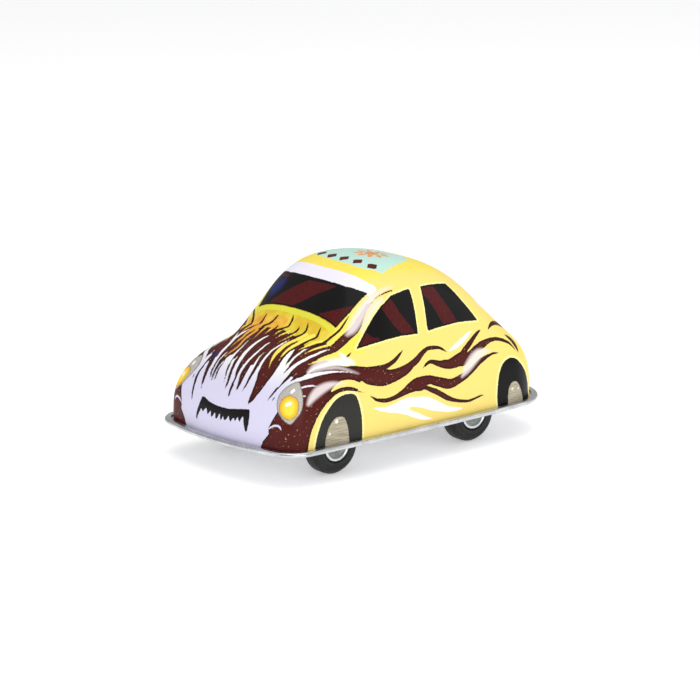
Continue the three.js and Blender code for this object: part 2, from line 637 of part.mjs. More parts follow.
// ---------------------------------------------------------------- assembly

const car = new THREE.Group();
car.position.set(0, CAR_Y, RIM_Z);

const add = (name, geometry, material) => {
  const mesh = new THREE.Mesh(geometry, material);
  mesh.name = name;
  car.add(mesh);
  return mesh;
};

add("body_shell", bodyShell(), printedTin);
add("base_plate", basePlate(), brightTin);

add("motor_plate_left", motorPlate(1), steel);
add("motor_plate_right", motorPlate(-1), steel);
for (const [name, x, z] of PILLARS) add(name, pillar(x, z), steel);
add("mainspring", mainspring(), springSteel);

add("winding_arbor", rod(WINDING.x, WINDING.z, ARBOR_RADIUS, ARBOR_TIP_Y, MOTOR_INNER_Y + MOTOR_PLATE + 0.8), steel);
add("ratchet_wheel", ratchetWheel(), steel);
add("key_stem", keyStem(), steel);
add("key_wing", keyWing(), brightTin);

const rivetHole = rod(CLICK_PIVOT.x, CLICK_PIVOT.z, RIVET_RADIUS + FIXED_GAP, -7, 0, 12);
add("great_wheel", cut(greatGear(), rivetHole), brass);
add("click", click(), steel);
add("click_rivet", rod(CLICK_PIVOT.x, CLICK_PIVOT.z, RIVET_RADIUS, RATCHET_Y[0] - 0.2, GREAT_Y[1], 12), steel);
add("click_spring", clickSpring(), springSteel);

const arborReach = MOTOR_INNER_Y + MOTOR_PLATE + 0.5;
add("middle_arbor", rod(MIDDLE.x, MIDDLE.z, MIDDLE_ARBOR_RADIUS, -arborReach, arborReach), steel);
add("middle_pinion", middlePinion(), steel);
add("middle_wheel", middleGear(), brass);

add("rear_axle", rod(REAR.x, REAR.z, AXLE_RADIUS, -WHEEL_OUTER_Y - 0.2, WHEEL_OUTER_Y + 0.2), steel);
add("rear_pinion", rearPinion(), steel);
add("front_axle", rod(FRONT_AXLE_X, -AXLE_DROP, AXLE_RADIUS, -WHEEL_OUTER_Y - 0.2, WHEEL_OUTER_Y + 0.2), steel);

const spacerInner = MOTOR_INNER_Y + MOTOR_PLATE + 0.4;
const spacerProfile = [
  [AXLE_RADIUS + FIXED_GAP, spacerInner],
  [1.5, spacerInner],
  [1.5, HUB_BOSS_END - 0.2],
  [AXLE_RADIUS + FIXED_GAP, HUB_BOSS_END - 0.2],
];

for (const [side, turn] of [["left", 0], ["right", Math.PI]]) {
  for (const [end, x] of [["front", FRONT_AXLE_X], ["rear", REAR.x]]) {
    for (const [piece, profile, segments, material] of [
      ["tyre", tyreProfile, TYRE_SEGMENTS, blackRubber],
      ["hub", hubProfile, HUB_SEGMENTS, brightTin],
    ]) {
      const mesh = add(`${end}_${side}_${piece}`, turned(profile, segments), material);
      mesh.position.set(x, 0, -AXLE_DROP);
      mesh.rotation.z = turn;
    }
  }
  const spacer = add(`rear_${side}_spacer`, turned(spacerProfile, 16), steel);
  spacer.position.set(REAR.x, 0, REAR.z);
  spacer.rotation.z = turn;
}

const toy = new THREE.Group();
toy.add(car);

export default toy;
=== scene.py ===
"""Wind-up tin toy car: the finish of a lithographed tin shell on a crimped base, with its wheels, key
and clockwork. Drawing sizes are in millimetres in the car's own frame: x forward, y to the left from
the middle plane, z up from the underside of the crimped rim. place() turns them into scene metres."""

import math

import bmesh
import bpy
import numpy as np
from mathutils import Matrix, Vector


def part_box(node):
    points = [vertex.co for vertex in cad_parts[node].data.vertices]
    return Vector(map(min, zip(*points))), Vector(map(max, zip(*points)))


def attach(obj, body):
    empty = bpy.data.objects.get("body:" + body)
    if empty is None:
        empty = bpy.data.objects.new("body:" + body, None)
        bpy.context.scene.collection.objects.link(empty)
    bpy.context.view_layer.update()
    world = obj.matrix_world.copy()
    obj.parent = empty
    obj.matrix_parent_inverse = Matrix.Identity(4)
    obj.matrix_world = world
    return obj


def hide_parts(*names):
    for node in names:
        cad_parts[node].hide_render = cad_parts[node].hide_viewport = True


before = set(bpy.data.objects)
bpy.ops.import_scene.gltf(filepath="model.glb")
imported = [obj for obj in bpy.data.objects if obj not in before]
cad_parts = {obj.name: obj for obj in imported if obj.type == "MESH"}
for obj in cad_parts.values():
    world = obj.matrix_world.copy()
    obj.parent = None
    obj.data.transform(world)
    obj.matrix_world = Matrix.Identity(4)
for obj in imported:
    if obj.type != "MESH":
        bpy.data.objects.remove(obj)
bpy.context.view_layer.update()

# ------------------------------------------------------------------ driving dimensions, as in the CAD

MM = 0.001
RIM_LENGTH = 105.0
RIM_WIDTH = 60.5
SHEET = 0.4
SEAM_GAP = 0.1
BEAD_RADIUS = 0.7
HEM_REACH = 1.9
FLANGE_INSET = 0.9
WALL_INSET = 2.5
FLANGE_TOP = 2 * SHEET + SEAM_GAP
HEM_UNDER = FLANGE_TOP + SEAM_GAP
HEM_TOP = HEM_UNDER + SHEET
NOSE_RADIUS = 96.0
FRONT_CORNER_RADIUS = 9.0
FLANK_RADIUS = 860.0
REAR_CORNER_RADIUS = 16.0
TAIL_RADIUS = 122.0


def node_box(node):
    """Lowest and highest corner of a CAD node, in millimetres in the scene's frame."""
    low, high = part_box(node)
    return np.array(low) / MM, np.array(high) / MM


plate_low, plate_high = node_box("base_plate")
CAR_Y = (plate_low[1] + plate_high[1]) / 2
RIM_Z = plate_high[2] - HEM_TOP
ORIGIN = np.array([0.0, CAR_Y, RIM_Z])


def centre_of(node):
    """Centre of a CAD node in the car's own frame, in millimetres."""
    low, high = node_box(node)
    return (low + high) / 2 - ORIGIN


WINDING = centre_of("winding_arbor")
FRONT_AXLE = centre_of("front_axle")
REAR_AXLE = centre_of("rear_axle")
WHEEL_RADIUS = (node_box("front_left_tyre")[1][2] - node_box("front_left_tyre")[0][2]) / 2
WHEEL_FACE = node_box("front_left_tyre")[1][1] - CAR_Y
WHEEL_BACK = node_box("front_left_tyre")[0][1] - CAR_Y


def place(points):
    """Millimetres in the car's own frame to scene metres."""
    return (np.asarray(points, float) + ORIGIN) * MM


# ------------------------------------------------------------------ shape of the shell, as in the CAD

TUB_HEIGHT = 23.3
TUB_POWER = 3.7
CABIN_HALF_WIDTH = 26.1
ROOF_HEIGHT = 44.5
ROOF_PEAK_X = 3.5
ROOF_RADIUS = 62
BONNET_HEIGHT = 25.3
BONNET_HALF_WIDTH = 18
BONNET_BACK_X = 8
BONNET_LENGTH = 41
BONNET_POWER = 2.4
SLOPE_STEP = 0.003  # share of the way round, or out, over which the skin's slope is measured


def corner_centre(end_centre, end_radius, corner_radius, side):
    """Centre of the corner arc that touches the flank's arc and an end's arc from inside."""
    flank_centre = np.array([0.0, RIM_WIDTH / 2 - FLANK_RADIUS])
    flank_reach = FLANK_RADIUS - corner_radius
    end_reach = end_radius - corner_radius
    apart = end_centre - flank_centre
    distance = np.hypot(*apart)
    along = (flank_reach**2 - end_reach**2 + distance**2) / (2 * distance)
    across = math.sqrt(flank_reach**2 - along**2)
    unit = apart / distance
    return flank_centre + unit * along + side * across * np.array([unit[1], -unit[0]])


def rim_table(steps=400):
    """Points and outward directions around the rim, evenly spaced, from the nose's middle leftwards."""
    nose = np.array([RIM_LENGTH / 2 - NOSE_RADIUS, 0.0])
    tail = np.array([TAIL_RADIUS - RIM_LENGTH / 2, 0.0])
    flank = np.array([0.0, RIM_WIDTH / 2 - FLANK_RADIUS])
    front = corner_centre(nose, NOSE_RADIUS, FRONT_CORNER_RADIUS, 1)
    rear = corner_centre(tail, TAIL_RADIUS, REAR_CORNER_RADIUS, -1)

    def angle(start, end):
        return math.atan2(end[1] - start[1], end[0] - start[0])

    arcs = [
        (nose, NOSE_RADIUS, 0.0, angle(nose, front)),
        (front, FRONT_CORNER_RADIUS, angle(nose, front), angle(flank, front)),
        (flank, FLANK_RADIUS, angle(flank, front), angle(flank, rear)),
        (rear, REAR_CORNER_RADIUS, angle(flank, rear), angle(tail, rear)),
        (tail, TAIL_RADIUS, angle(tail, rear), math.pi),
    ]
    rows = []
    for centre, radius, start, end in arcs:
        turn = np.linspace(start, end, steps)
        direction = np.stack([np.cos(turn), np.sin(turn)], 1)
        rows.append(np.hstack([centre + radius * direction, direction]))
    left = np.concatenate(rows)
    right = left[::-1] * [1, -1, 1, -1]
    return np.concatenate([left, right])


RIM = rim_table()
RIM_DISTANCE = np.concatenate([[0.0], np.cumsum(np.hypot(*np.diff(RIM[:, :2], axis=0).T))])


def outline(inset, turn):
    """Points on the outline moved in by inset, at shares of the way round it."""
    at = np.asarray(turn) * RIM_DISTANCE[-1]
    x, y, nx, ny = (np.interp(at, RIM_DISTANCE, RIM[:, i]) for i in range(4))
    return np.stack([x - inset * nx, y - inset * ny], -1)


def ease(start, end, x):
    """A soft step: 0 up to start, 1 from end on."""
    t = np.clip((x - start) / (end - start), 0, 1)
    return t * t * (3 - 2 * t)


def arch(share, power):
    """How high a superellipse of that power stands at a share of its half width."""
    return np.maximum(1 - np.abs(share) ** power, 0) ** (1 / power)


def shell_height(x, y, share):
    """Height of the printed shell above the rim's underside: fenders, cabin and bonnet blended. Share
    is how far out a point lies, from 0 at the middle to 1 at the foot of the wall."""
    tub_top = TUB_HEIGHT - 3.5 * ease(30, 48, x) + 1.5 * ease(-5, -28, x) - 3.5 * ease(-32, -50, x)
    tub = tub_top * arch(share, TUB_POWER)
    roof = ROOF_HEIGHT - (x - ROOF_PEAK_X) ** 2 / (2 * ROOF_RADIUS)
    windscreen = np.maximum(44.4 - 1.16 * (x - 11.2), 0.5)
    rear_window = np.maximum(29.8 + 1.17 * (x + 32), 0.5)
    profile = (roof**-16.0 + windscreen**-16.0 + rear_window**-16.0) ** (-1 / 16)
    near_wall = np.maximum(1 - share**14, 0) ** 0.25
    cabin = profile * arch(y / CABIN_HALF_WIDTH, 3) * near_wall
    forward = np.clip((x - BONNET_BACK_X) / BONNET_LENGTH, 0, 1)
    bonnet = BONNET_HEIGHT * arch(forward, BONNET_POWER) * arch(y / BONNET_HALF_WIDTH, BONNET_POWER)
    bonnet = np.where(x > BONNET_BACK_X, bonnet * near_wall, 0)
    return FLANGE_TOP + (tub**12 + cabin**12 + bonnet**12) ** (1 / 12)


def skin(turn, share):
    """Points of the shell's outer skin, at shares of the way round it and of the way out."""
    x, y = (outline(WALL_INSET, turn % 1) * share[:, None]).T
    return np.stack([x, y, shell_height(x, y, share)], 1)


def outward(turn, share):
    """The skin's outward directions at the same shares."""
    low = np.clip(share, SLOPE_STEP, 1 - SLOPE_STEP / 10)
    around = skin(turn + SLOPE_STEP, low) - skin(turn - SLOPE_STEP, low)
    inward = skin(turn, low - SLOPE_STEP / 2) - skin(turn, np.minimum(low + SLOPE_STEP / 2, 1))
    normal = np.cross(around, inward)
    return normal / np.linalg.norm(normal, axis=1)[:, None]


def even_shares(count, directions=360, samples=900):
    """For each direction round the outline, the shares that cut the shell into steps of even length."""
    turn = np.linspace(0, 1, directions + 1)
    foot = outline(WALL_INSET, turn)[:, None, :]
    fine = np.sin(np.linspace(0, 1, samples) ** 1.15 * math.pi / 2)[None, :]  # closer towards the wall
    x, y = foot[..., 0] * fine, foot[..., 1] * fine
    z = shell_height(x, y, np.minimum(fine + 0 * x, 1))
    steps = np.sqrt(np.diff(x) ** 2 + np.diff(y) ** 2 + np.diff(z) ** 2)
    length = np.concatenate([np.zeros((directions + 1, 1)), np.cumsum(steps, 1)], 1)
    wanted = np.linspace(0, 1, count + 1)
    return turn, np.array([np.interp(wanted * row[-1], row, fine[0]) for row in length])


def fan_faces(rings):
    """Triangles of four sectors whose ring k holds 4k points, with one point in the middle."""
    def start(k):
        """Number of ring k's first point."""
        return 0 if k == 0 else 1 + 2 * k * (k - 1)

    faces = []
    for k in range(1, rings + 1):
        size, inner_size = 4 * k, max(4 * (k - 1), 1)
        j = np.arange(k)
        for sector in range(4):
            outer = start(k) + (sector * k + j) % size
            outer_next = start(k) + (sector * k + j + 1) % size
            inner = start(k - 1) + (sector * (k - 1) + j) % inner_size
            faces.append(np.stack([inner, outer, outer_next], 1))
            inner_next = start(k - 1) + (sector * (k - 1) + j[:-1] + 1) % inner_size
            faces.append(np.stack([inner[:-1], outer_next[:-1], inner_next], 1))
    return np.concatenate(faces)


def fan_points(rings):
    """The shell's outer skin as the points of such a fan."""
    turns, shares = even_shares(rings)
    turn = [np.zeros(1)]
    share = [np.zeros(1)]
    for k in range(1, rings + 1):
        t = np.arange(4 * k) / (4 * k)
        turn.append(t)
        share.append(np.interp(t, turns, shares[:, k]))
    return skin(np.concatenate(turn), np.minimum(np.concatenate(share), 1))


def ring_skin(rings, count, inset):
    """The skin as rings of equal counts from the foot to near the middle, moved in by inset."""
    turns, shares = even_shares(rings)
    turn = np.arange(count) / count
    loops = []
    for k in range(rings, 0, -1):
        share = np.minimum(np.interp(turn, turns, shares[:, k]), 1)
        loops.append(skin(turn, share) - inset * outward(turn, share))
    return loops


def level_ring(inset, z, count):
    """A ring of points parallel to the outline at one height."""
    return np.hstack([outline(inset, np.arange(count) / count), np.full((count, 1), z)])


# ------------------------------------------------------------------ meshes

def mesh_object(name, points, faces, materials, smooth=True):
    """An object from points in scene metres and faces, with its materials."""
    mesh = bpy.data.meshes.new(name)
    mesh.from_pydata([tuple(p) for p in points], [], [tuple(int(i) for i in f) for f in faces])
    mesh.update()
    mesh.validate()
    thing = bpy.data.objects.new(name, mesh)
    bpy.context.collection.objects.link(thing)
    for material in materials:
        mesh.materials.append(material)
    mesh.polygons.foreach_set("use_smooth", [smooth] * len(mesh.polygons))
    return thing


def apply_modifiers(thing):
    """Bakes an object's modifiers into its mesh."""
    graph = bpy.context.evaluated_depsgraph_get()
    mesh = bpy.data.meshes.new_from_object(thing.evaluated_get(graph), depsgraph=graph)
    thing.modifiers.clear()
    thing.data = mesh


def combine(thing, tool, operation):
    """Joins a tool object to a piece or cuts it out, and removes the tool."""
    modifier = thing.modifiers.new("combine", "BOOLEAN")
    modifier.object = tool
    modifier.operation = operation
    modifier.solver = "EXACT"
    apply_modifiers(thing)
    bpy.data.objects.remove(tool)


def bevelled(thing, width, segments=3, angle=0.6):
    """Rounds every edge that bends by more than an angle, width millimetres wide."""
    modifier = thing.modifiers.new("bevel", "BEVEL")
    modifier.width = width * MM
    modifier.segments = segments
    modifier.limit_method = "ANGLE"
    modifier.angle_limit = angle
    apply_modifiers(thing)
    return thing


def sharp_edges(thing, angle=0.7):
    """Smooth shading with hard edges above an angle."""
    thing.data.set_sharp_from_angle(angle=angle)
    return thing


BOX_FACES = [(0, 2, 3, 1), (4, 5, 7, 6), (0, 1, 5, 4), (2, 6, 7, 3), (0, 4, 6, 2), (1, 3, 7, 5)]


def boxes(name, corners):
    """One mesh of separate boxes, each given by six numbers: lowest corner, then highest corner."""
    points, faces = [], []
    for x0, y0, z0, x1, y1, z1 in corners:
        first = len(points)
        points += [(x, y, z) for z in (z0, z1) for y in (y0, y1) for x in (x0, x1)]
        faces += [[first + i for i in face] for face in BOX_FACES]
    return mesh_object(name, place(points), faces, [], smooth=False)


def join_rings(first_a, first_b, count):
    """Quads between two rings of equal counts, given by the numbers of their first points."""
    i = np.arange(count)
    k = (i + 1) % count
    return np.stack([first_a + i, first_a + k, first_b + k, first_b + i], 1).tolist()


def turned(name, profile, centre, material, segments=96, side=1):
    """A turned piece around y from (radius, y) rows: a ring, or solid if they start and end on the axis.
    Side is 1 for the left, -1 for the right."""
    turn = np.arange(segments) / segments * 2 * math.pi
    profile = np.asarray(profile, float)
    solid = profile[0, 0] == 0
    if solid:
        profile = profile[1:-1]
    count = len(profile)
    points = []
    for radius, y in profile:
        ring = np.stack([radius * np.sin(turn), np.full(segments, side * y), radius * np.cos(turn)], 1)
        points.append(ring + [centre[0], 0, centre[2]])
    faces = []
    for i in range(count - 1 if solid else count):
        faces += join_rings(i * segments, (i + 1) % count * segments, segments)
    if solid:
        faces.append(list(range(segments))[::-1])
        faces.append(list(range((count - 1) * segments, count * segments)))
    if side == -1:
        faces = [face[::-1] for face in faces]
    return mesh_object(name, place(np.concatenate(points)), faces, [material])


def rounded(rows, steps=4):
    """A closed profile from rows of (radius, y, rounding), each corner rounded by its own amount."""
    corners = [np.array(row[:2], float) for row in rows]
    out = []
    for i, corner in enumerate(corners):
        rounding = rows[i][2]
        if rounding <= 0:
            out.append(corner)
            continue
        before, after = corners[i - 1] - corner, corners[(i + 1) % len(corners)] - corner
        before_length, after_length = np.linalg.norm(before), np.linalg.norm(after)
        before, after = before / before_length, after / after_length
        half = math.acos(np.clip(before @ after, -1, 1)) / 2
        reach = min(rounding / math.tan(half), 0.49 * before_length, 0.49 * after_length)
        start, end = corner + before * reach, corner + after * reach
        for t in np.linspace(0, 1, steps + 1):
            out.append((1 - t) ** 2 * start + 2 * t * (1 - t) * corner + t**2 * end)
    return out


WELD = 0.002  # points of a stamped piece closer than this are one, in millimetres


def flat_piece(name, loops, thickness, bevel, material):
    """A flat stamped piece in the xy plane from closed loops of (x, y), with rounded edges."""
    curve = bpy.data.curves.new(name, "CURVE")
    curve.dimensions = "2D"
    curve.fill_mode = "BOTH"
    curve.extrude = (thickness / 2 - bevel) * MM
    curve.bevel_depth = bevel * MM
    curve.bevel_resolution = 2
    curve.offset = -bevel * MM
    for loop in loops:
        spline = curve.splines.new("POLY")
        spline.points.add(len(loop) - 1)
        for point, (x, y) in zip(spline.points, loop):
            point.co = (x * MM, y * MM, 0, 1)
        spline.use_cyclic_u = True
    holder = bpy.data.objects.new(name + "_curve", curve)
    bpy.context.collection.objects.link(holder)
    graph = bpy.context.evaluated_depsgraph_get()
    mesh = bpy.data.meshes.new_from_object(holder.evaluated_get(graph), depsgraph=graph)
    bpy.data.objects.remove(holder)
    joined = bmesh.new()
    joined.from_mesh(mesh)
    bmesh.ops.remove_doubles(joined, verts=joined.verts, dist=WELD * MM)
    joined.to_mesh(mesh)
    joined.free()
    thing = bpy.data.objects.new(name, mesh)
    bpy.context.collection.objects.link(thing)
    mesh.materials.clear()
    mesh.materials.append(material)
    return sharp_edges(thing)


# ------------------------------------------------------------------ the printed picture: drawing tools

THINNEST = 0.07  # half width below which a brush stroke would break up, in millimetres
STRAND_SPREAD = 0.06  # how much wider than drawn the brown strands are printed, in millimetres
FAR = 1.5  # distances are kept only up to this far from an edge, in millimetres
DEEPEST = -3  # and inside an ink's edge only down to this


def smooth_rows(rows, closed=False, steps=5):
    """A smooth line through rows of numbers (Catmull-Rom)."""
    rows = np.asarray(rows, float)
    if len(rows) < 3:
        return np.array([rows[0] + (rows[-1] - rows[0]) * t for t in np.linspace(0, 1, steps + 1)])
    ends = (rows[-1:], rows[:2]) if closed else (2 * rows[:1] - rows[1:2], 2 * rows[-1:] - rows[-2:-1])
    padded = np.concatenate([ends[0], rows, ends[1]])
    t = (np.arange(steps) / steps)[:, None]
    parts = []
    for p0, p1, p2, p3 in zip(padded, padded[1:], padded[2:], padded[3:]):
        parts.append(0.5 * (2 * p1 + (p2 - p0) * t + (2 * p0 - 5 * p1 + 4 * p2 - p3) * t**2
                            + (3 * p1 - p0 - 3 * p2 + p3) * t**3))
    if not closed:
        parts.append(rows[-1:])
    return np.concatenate(parts)


def near(points, shape, margin):
    """Numbers of the points inside a shape's box, made larger by a margin."""
    low, high = shape[:, :2].min(0) - margin, shape[:, :2].max(0) + margin
    return np.flatnonzero(((points > low) & (points < high)).all(1))


def stroke(points, rows):
    """Distance in millimetres to a brush stroke of (a, b, half width) rows, less than zero inside it."""
    line = smooth_rows(rows)
    line[:, 2] = np.maximum(line[:, 2], THINNEST)
    out = np.full(len(points), FAR)
    chosen = near(points, line, FAR + line[:, 2].max())
    p = points[chosen]
    best = out[chosen]
    for a, b in zip(line, line[1:]):
        along = b[:2] - a[:2]
        t = np.clip((p - a[:2]) @ along / max(along @ along, 1e-9), 0, 1)
        gap = np.hypot(*(p - a[:2] - t[:, None] * along).T) - (a[2] + (b[2] - a[2]) * t)
        best = np.minimum(best, gap)
    out[chosen] = best
    return out


def area(points, corners, smooth=False):
    """Signed distance in millimetres to a closed outline, less than zero inside it."""
    line = smooth_rows(corners, closed=True) if smooth else np.asarray(corners, float)
    out = np.full(len(points), FAR)
    chosen = near(points, line, FAR)
    p = points[chosen]
    best = np.full(len(p), FAR)
    inside = np.zeros(len(p), bool)
    for a, b in zip(line, np.roll(line, -1, axis=0)):
        along = b - a
        t = np.clip((p - a) @ along / max(along @ along, 1e-9), 0, 1)
        best = np.minimum(best, np.hypot(*(p - a - t[:, None] * along).T))
        if a[1] != b[1]:
            crosses = (a[1] > p[:, 1]) != (b[1] > p[:, 1])
            inside ^= crosses & (p[:, 0] < a[0] + (p[:, 1] - a[1]) * along[0] / along[1])
    out[chosen] = np.where(inside, -best, best)
    return out


def strokes(points, shapes):
    """Distance to the nearest of several brush strokes."""
    return np.minimum.reduce([stroke(points, rows) for rows in shapes])


def areas(points, shapes, smooth=False):
    """Signed distance to the nearest of several closed outlines."""
    return np.minimum.reduce([area(points, corners, smooth) for corners in shapes])


def dots(points, rows):
    """Distance to filled circles of (a, b, radius)."""
    return np.minimum.reduce([np.hypot(*(points - row[:2]).T) - row[2] for row in rows])


def only_where(distance, allowed):
    """Keeps a distance where a drawing is allowed to print, and puts its edge far away elsewhere."""
    return np.where(allowed, distance, FAR)


# ------------------------------------------------------------------ the printed picture: shapes

# Side drawings are (x, z), the same on both sides. Brush strokes are rows of (a, b, half width).
SIDE_BROWN_STROKES = [
    [(27, 19.2, .9), (25, 19, 1), (22, 19.2, 1.6), (20, 18.7, 1.85), (18, 17.8, 2.35), (15, 17.3, 2.7),
     (13, 17.1, 2.75), (10, 16.6, 1.9), (7, 16.8, 1.5), (4, 17.5, 1.3), (2, 18.4, 1.05), (0, 19.3, 1),
     (-2, 20.7, .8), (-4, 21.6, .6), (-6, 21.6, .55), (-8, 21.3, .45), (-9.5, 20.7, .35),
     (-11.3, 19.5, .1)],
    [(25.5, 20.9, .1), (22, 20.5, .5), (19, 19.5, .6)],
    [(34, 14.6, .6), (30, 15.5, .5), (27, 15.65, .45), (24, 15, .3), (22, 14.2, .15), (20.4, 13.7, .04)],
    [(14, 18.9, .9), (11, 19.4, .75), (10, 19.7, .65), (8, 20.5, .6), (6, 21.9, .35), (4.8, 22.7, .08)],
    [(-1.7, 16.6, .1), (-3, 17.4, .4), (-5, 17.9, .55), (-8, 16.8, .9), (-10, 16.4, 1.2),
     (-12, 16.2, 1.35), (-15, 16.7, 1.7), (-17, 17, 1.9), (-18, 18.9, .9), (-20, 20.2, .85),
     (-22, 21.6, .65), (-24, 22.7, .45), (-25.7, 23.3, .08)],
    [(-17, 16.4, 1.3), (-19.5, 17.3, 1), (-22, 18.5, .95), (-25, 19.3, 1.05), (-28, 19.9, .65),
     (-31, 19.8, .5), (-33.5, 19, .45), (-35.5, 18, .38), (-36.8, 16.7, .25), (-37.8, 15.3, .08)],
    [(19, 12.7, .12), (17, 11.3, .4), (15, 10.7, .55), (13, 10.4, .6), (10, 10.7, .65), (7, 11.5, .9),
     (4, 12.4, 1.4), (2, 12.8, 1.75), (0, 12.8, 1.9), (-3, 13.4, 1.2), (-5, 12.7, 1.3), (-8, 11.6, 1.45),
     (-10, 11.05, 1.4), (-12, 11.05, 1.25), (-14, 11.55, 1.15), (-16, 12.1, 1.1), (-18, 12.8, .95),
     (-20, 13.75, .85), (-22, 14.75, .75), (-24, 15.5, .65), (-27, 16.2, .35), (-29, 16.35, .28),
     (-30.8, 16.1, .05)],
    [(-1, 11.8, .7), (-4, 10.3, .8), (-6, 9.2, .8), (-8, 8, .8), (-10, 6.9, .7), (-12, 6.1, .55),
     (-15, 5.3, .45), (-17.5, 4.9, .4), (-20, 5.2, .33), (-22, 5.5, .28), (-23.3, 5.6, .05)],
]
SIDE_YELLOW_SLITS = [
    [(11.5, 18.6, .1), (9.8, 18.5, .3), (8, 18.3, .1)],
    [(-2, 12, .1), (-5, 11, .3), (-8.5, 9.8, .1)],
]
SIDE_WHITE_STROKES = [
    [(18.3, 9.25, .05), (16, 8.45, .4), (14, 8, .65), (11, 7.7, 1.15), (8, 7.9, 1.7), (5, 8.2, 1.6),
     (2, 7.9, 1.5), (0, 7.6, 1.55), (-2, 7, 1.6), (-4, 6.1, 1.5), (-6, 5.3, 1.25), (-8, 4.5, 1),
     (-10, 3.85, .75), (-13, 3.4, .45), (-15.6, 3.2, .05)],
    [(9, 6.9, .8), (6, 5.9, .75), (4, 5, .75), (2, 4.15, .75), (0, 3.3, .6), (-2, 2.65, .35),
     (-4, 2.35, .05)],
    [(-12.2, 19.7, .25), (-15, 20.6, .65), (-18, 21.9, .7), (-20, 22.9, .5), (-21.8, 23.6, .1)],
]
SIDE_WHITE_SLITS = [[(5.2, 7.2, .1), (3.5, 6.7, .25), (0, 6, .1)]]
# Pale sheens: painted highlights.
SIDE_SHEEN = [
    [(2.7, 39.3, .05), (5, 39.1, .25), (8, 38.5, .45), (11, 37.2, .8), (14, 34.9, 1), (16.5, 32.5, 1.1),
     (19, 30, .9), (20.8, 28.6, .3)],
    [(-15.3, 12.2, .4), (-17.5, 14, 1.3), (-20.5, 16, 1.5), (-23, 17.2, 1.3), (-25.5, 17.4, .7),
     (-27.6, 17.3, .1)],
]

# Tail drawings are (along, z), seen square to the car's rear left corner. Along is 0 above the rear
# axle and about -33 at the tail's middle.
TAIL_STROKES = [
    [(-3.9, 22.8, .15), (-6, 23.6, .45), (-8.7, 23.4, .6), (-11.5, 22.3, .65), (-15, 20.4, .6),
     (-18.5, 17.9, .5), (-21.5, 14.8, .35), (-23.5, 12, .1)],
    [(-8.7, 20, .15), (-9.6, 18.9, .7), (-10.1, 17.7, .95), (-10, 16.3, .7), (-9.6, 14.8, .1)],
    [(-15.8, 12.2, .1), (-18, 11.5, .5), (-21, 9.6, .65), (-24.5, 7, .45), (-26.5, 5.6, .1)],
]
# A pale sheen at the rear window's corner: a painted highlight.
TAIL_SHEEN = [(-6.6, 29.8, .3), (-8.5, 28.8, 1.1), (-11, 27.9, 1.2), (-14.5, 26.2, .6), (-17.5, 25, .1)]
SIDE_WINDOWS = [
    [(19.9, 25.1), (15, 25.9), (10, 26.4), (5, 26.6), (0, 26.3), (-1.3, 26.2), (-1.5, 30), (-1.9, 34),
     (-2.3, 37.9), (0, 37.8), (2.5, 37.5), (5, 37.2), (7, 36.2), (9.5, 35), (12, 33.2), (14.3, 31.1),
     (16, 29.4), (18, 27.2)],
    [(-5.2, 26.3), (-8, 26.6), (-12, 26.7), (-16, 26.8), (-20, 26.5), (-25.1, 25.9), (-23, 29),
     (-21, 31.7), (-19, 34.7), (-17.4, 36.7), (-14, 37.3), (-10, 37.7), (-6.7, 37.8), (-6, 35),
     (-5.4, 31), (-5.1, 28)],
]
SIDE_WINDOW_BARS = [
    [(9.8, 34.8), (5.2, 37.2), (3.6, 33), (-.5, 27.2), (-.6, 26.4), (4.5, 26.6), (6.8, 29.2), (9, 32.7)],
    [(19.9, 25.1), (15.9, 29.5), (14.5, 28), (13.8, 27.6), (12.8, 27.7), (12.3, 27.2), (11.7, 26.7),
     (10.5, 26.3)],
    [(-6.7, 37.8), (-11.9, 37.5), (-13.5, 34), (-17.3, 27), (-17, 26.8), (-11.2, 26.6), (-9.5, 30),
     (-7.5, 34), (-6.2, 35.6)],
]
PAINTED_TYRES = [
    [(39.6, -3), (38.9, 1), (37.9, 5), (36, 8.9), (33.5, 11.6), (31, 13.4), (28, 14.3), (25, 14.2),
     (23.6, 13.2), (22.7, 10), (22.2, 6), (22.2, 1), (22.2, -3)],
    [(-29.2, -3), (-29, 1), (-28.7, 4), (-28.9, 7), (-29.5, 10), (-30.7, 12.3), (-32.5, 13.7),
     (-34.8, 14.1), (-37, 13.4), (-39, 11.6), (-41, 9), (-42.3, 6), (-42.8, 3.5), (-42.8, -3)],
]
PAINTED_HUBS = [
    [(35.4, -3), (35.3, 1), (34.9, 4), (33.8, 6.5), (32, 8.3), (30.3, 8.8), (28.5, 8.2), (27.5, 6),
     (27, 3), (27, -3)],
    [(-33.2, -3), (-33.1, 1), (-33.1, 4), (-33.8, 6.3), (-35.4, 7.3), (-37, 6.6), (-38.3, 4.5),
     (-39.3, 1.5), (-39.4, -3)],
]
# Pale glints on the painted hubs, painted highlights, as (x, z, radius).
HUB_GLINTS = [(31.2, 7.6, .7), (33.7, 4.5, .5), (-34.8, 5.2, .5), (-37.2, 5, .45)]

# Top drawings are (x, |y|).
WINDSHIELD = [
    (22.1, -2), (22.1, 0), (22.1, 8), (21.9, 16.2), (17.4, 17.1), (11.4, 17.5), (13, 15), (14.3, 11.5),
    (14.9, 6.5), (15, 0), (15, -2),
]
WHITE_BAND = [
    (16, -3), (16, 0), (15.6, 7), (14.6, 12.4), (12.4, 16.6), (11, 18.2), (8.3, 17.7), (9.8, 14.9),
    (10.9, 11), (11.5, 7), (11.8, 0), (11.8, -3),
]
REAR_WINDOW = [
    (-22.5, -3), (-22.5, 0), (-22.7, 6), (-23.6, 10.5), (-25.2, 12.4), (-28, 12.6), (-30.2, 11.4),
    (-31, 8), (-31.4, 0), (-31.4, -3),
]

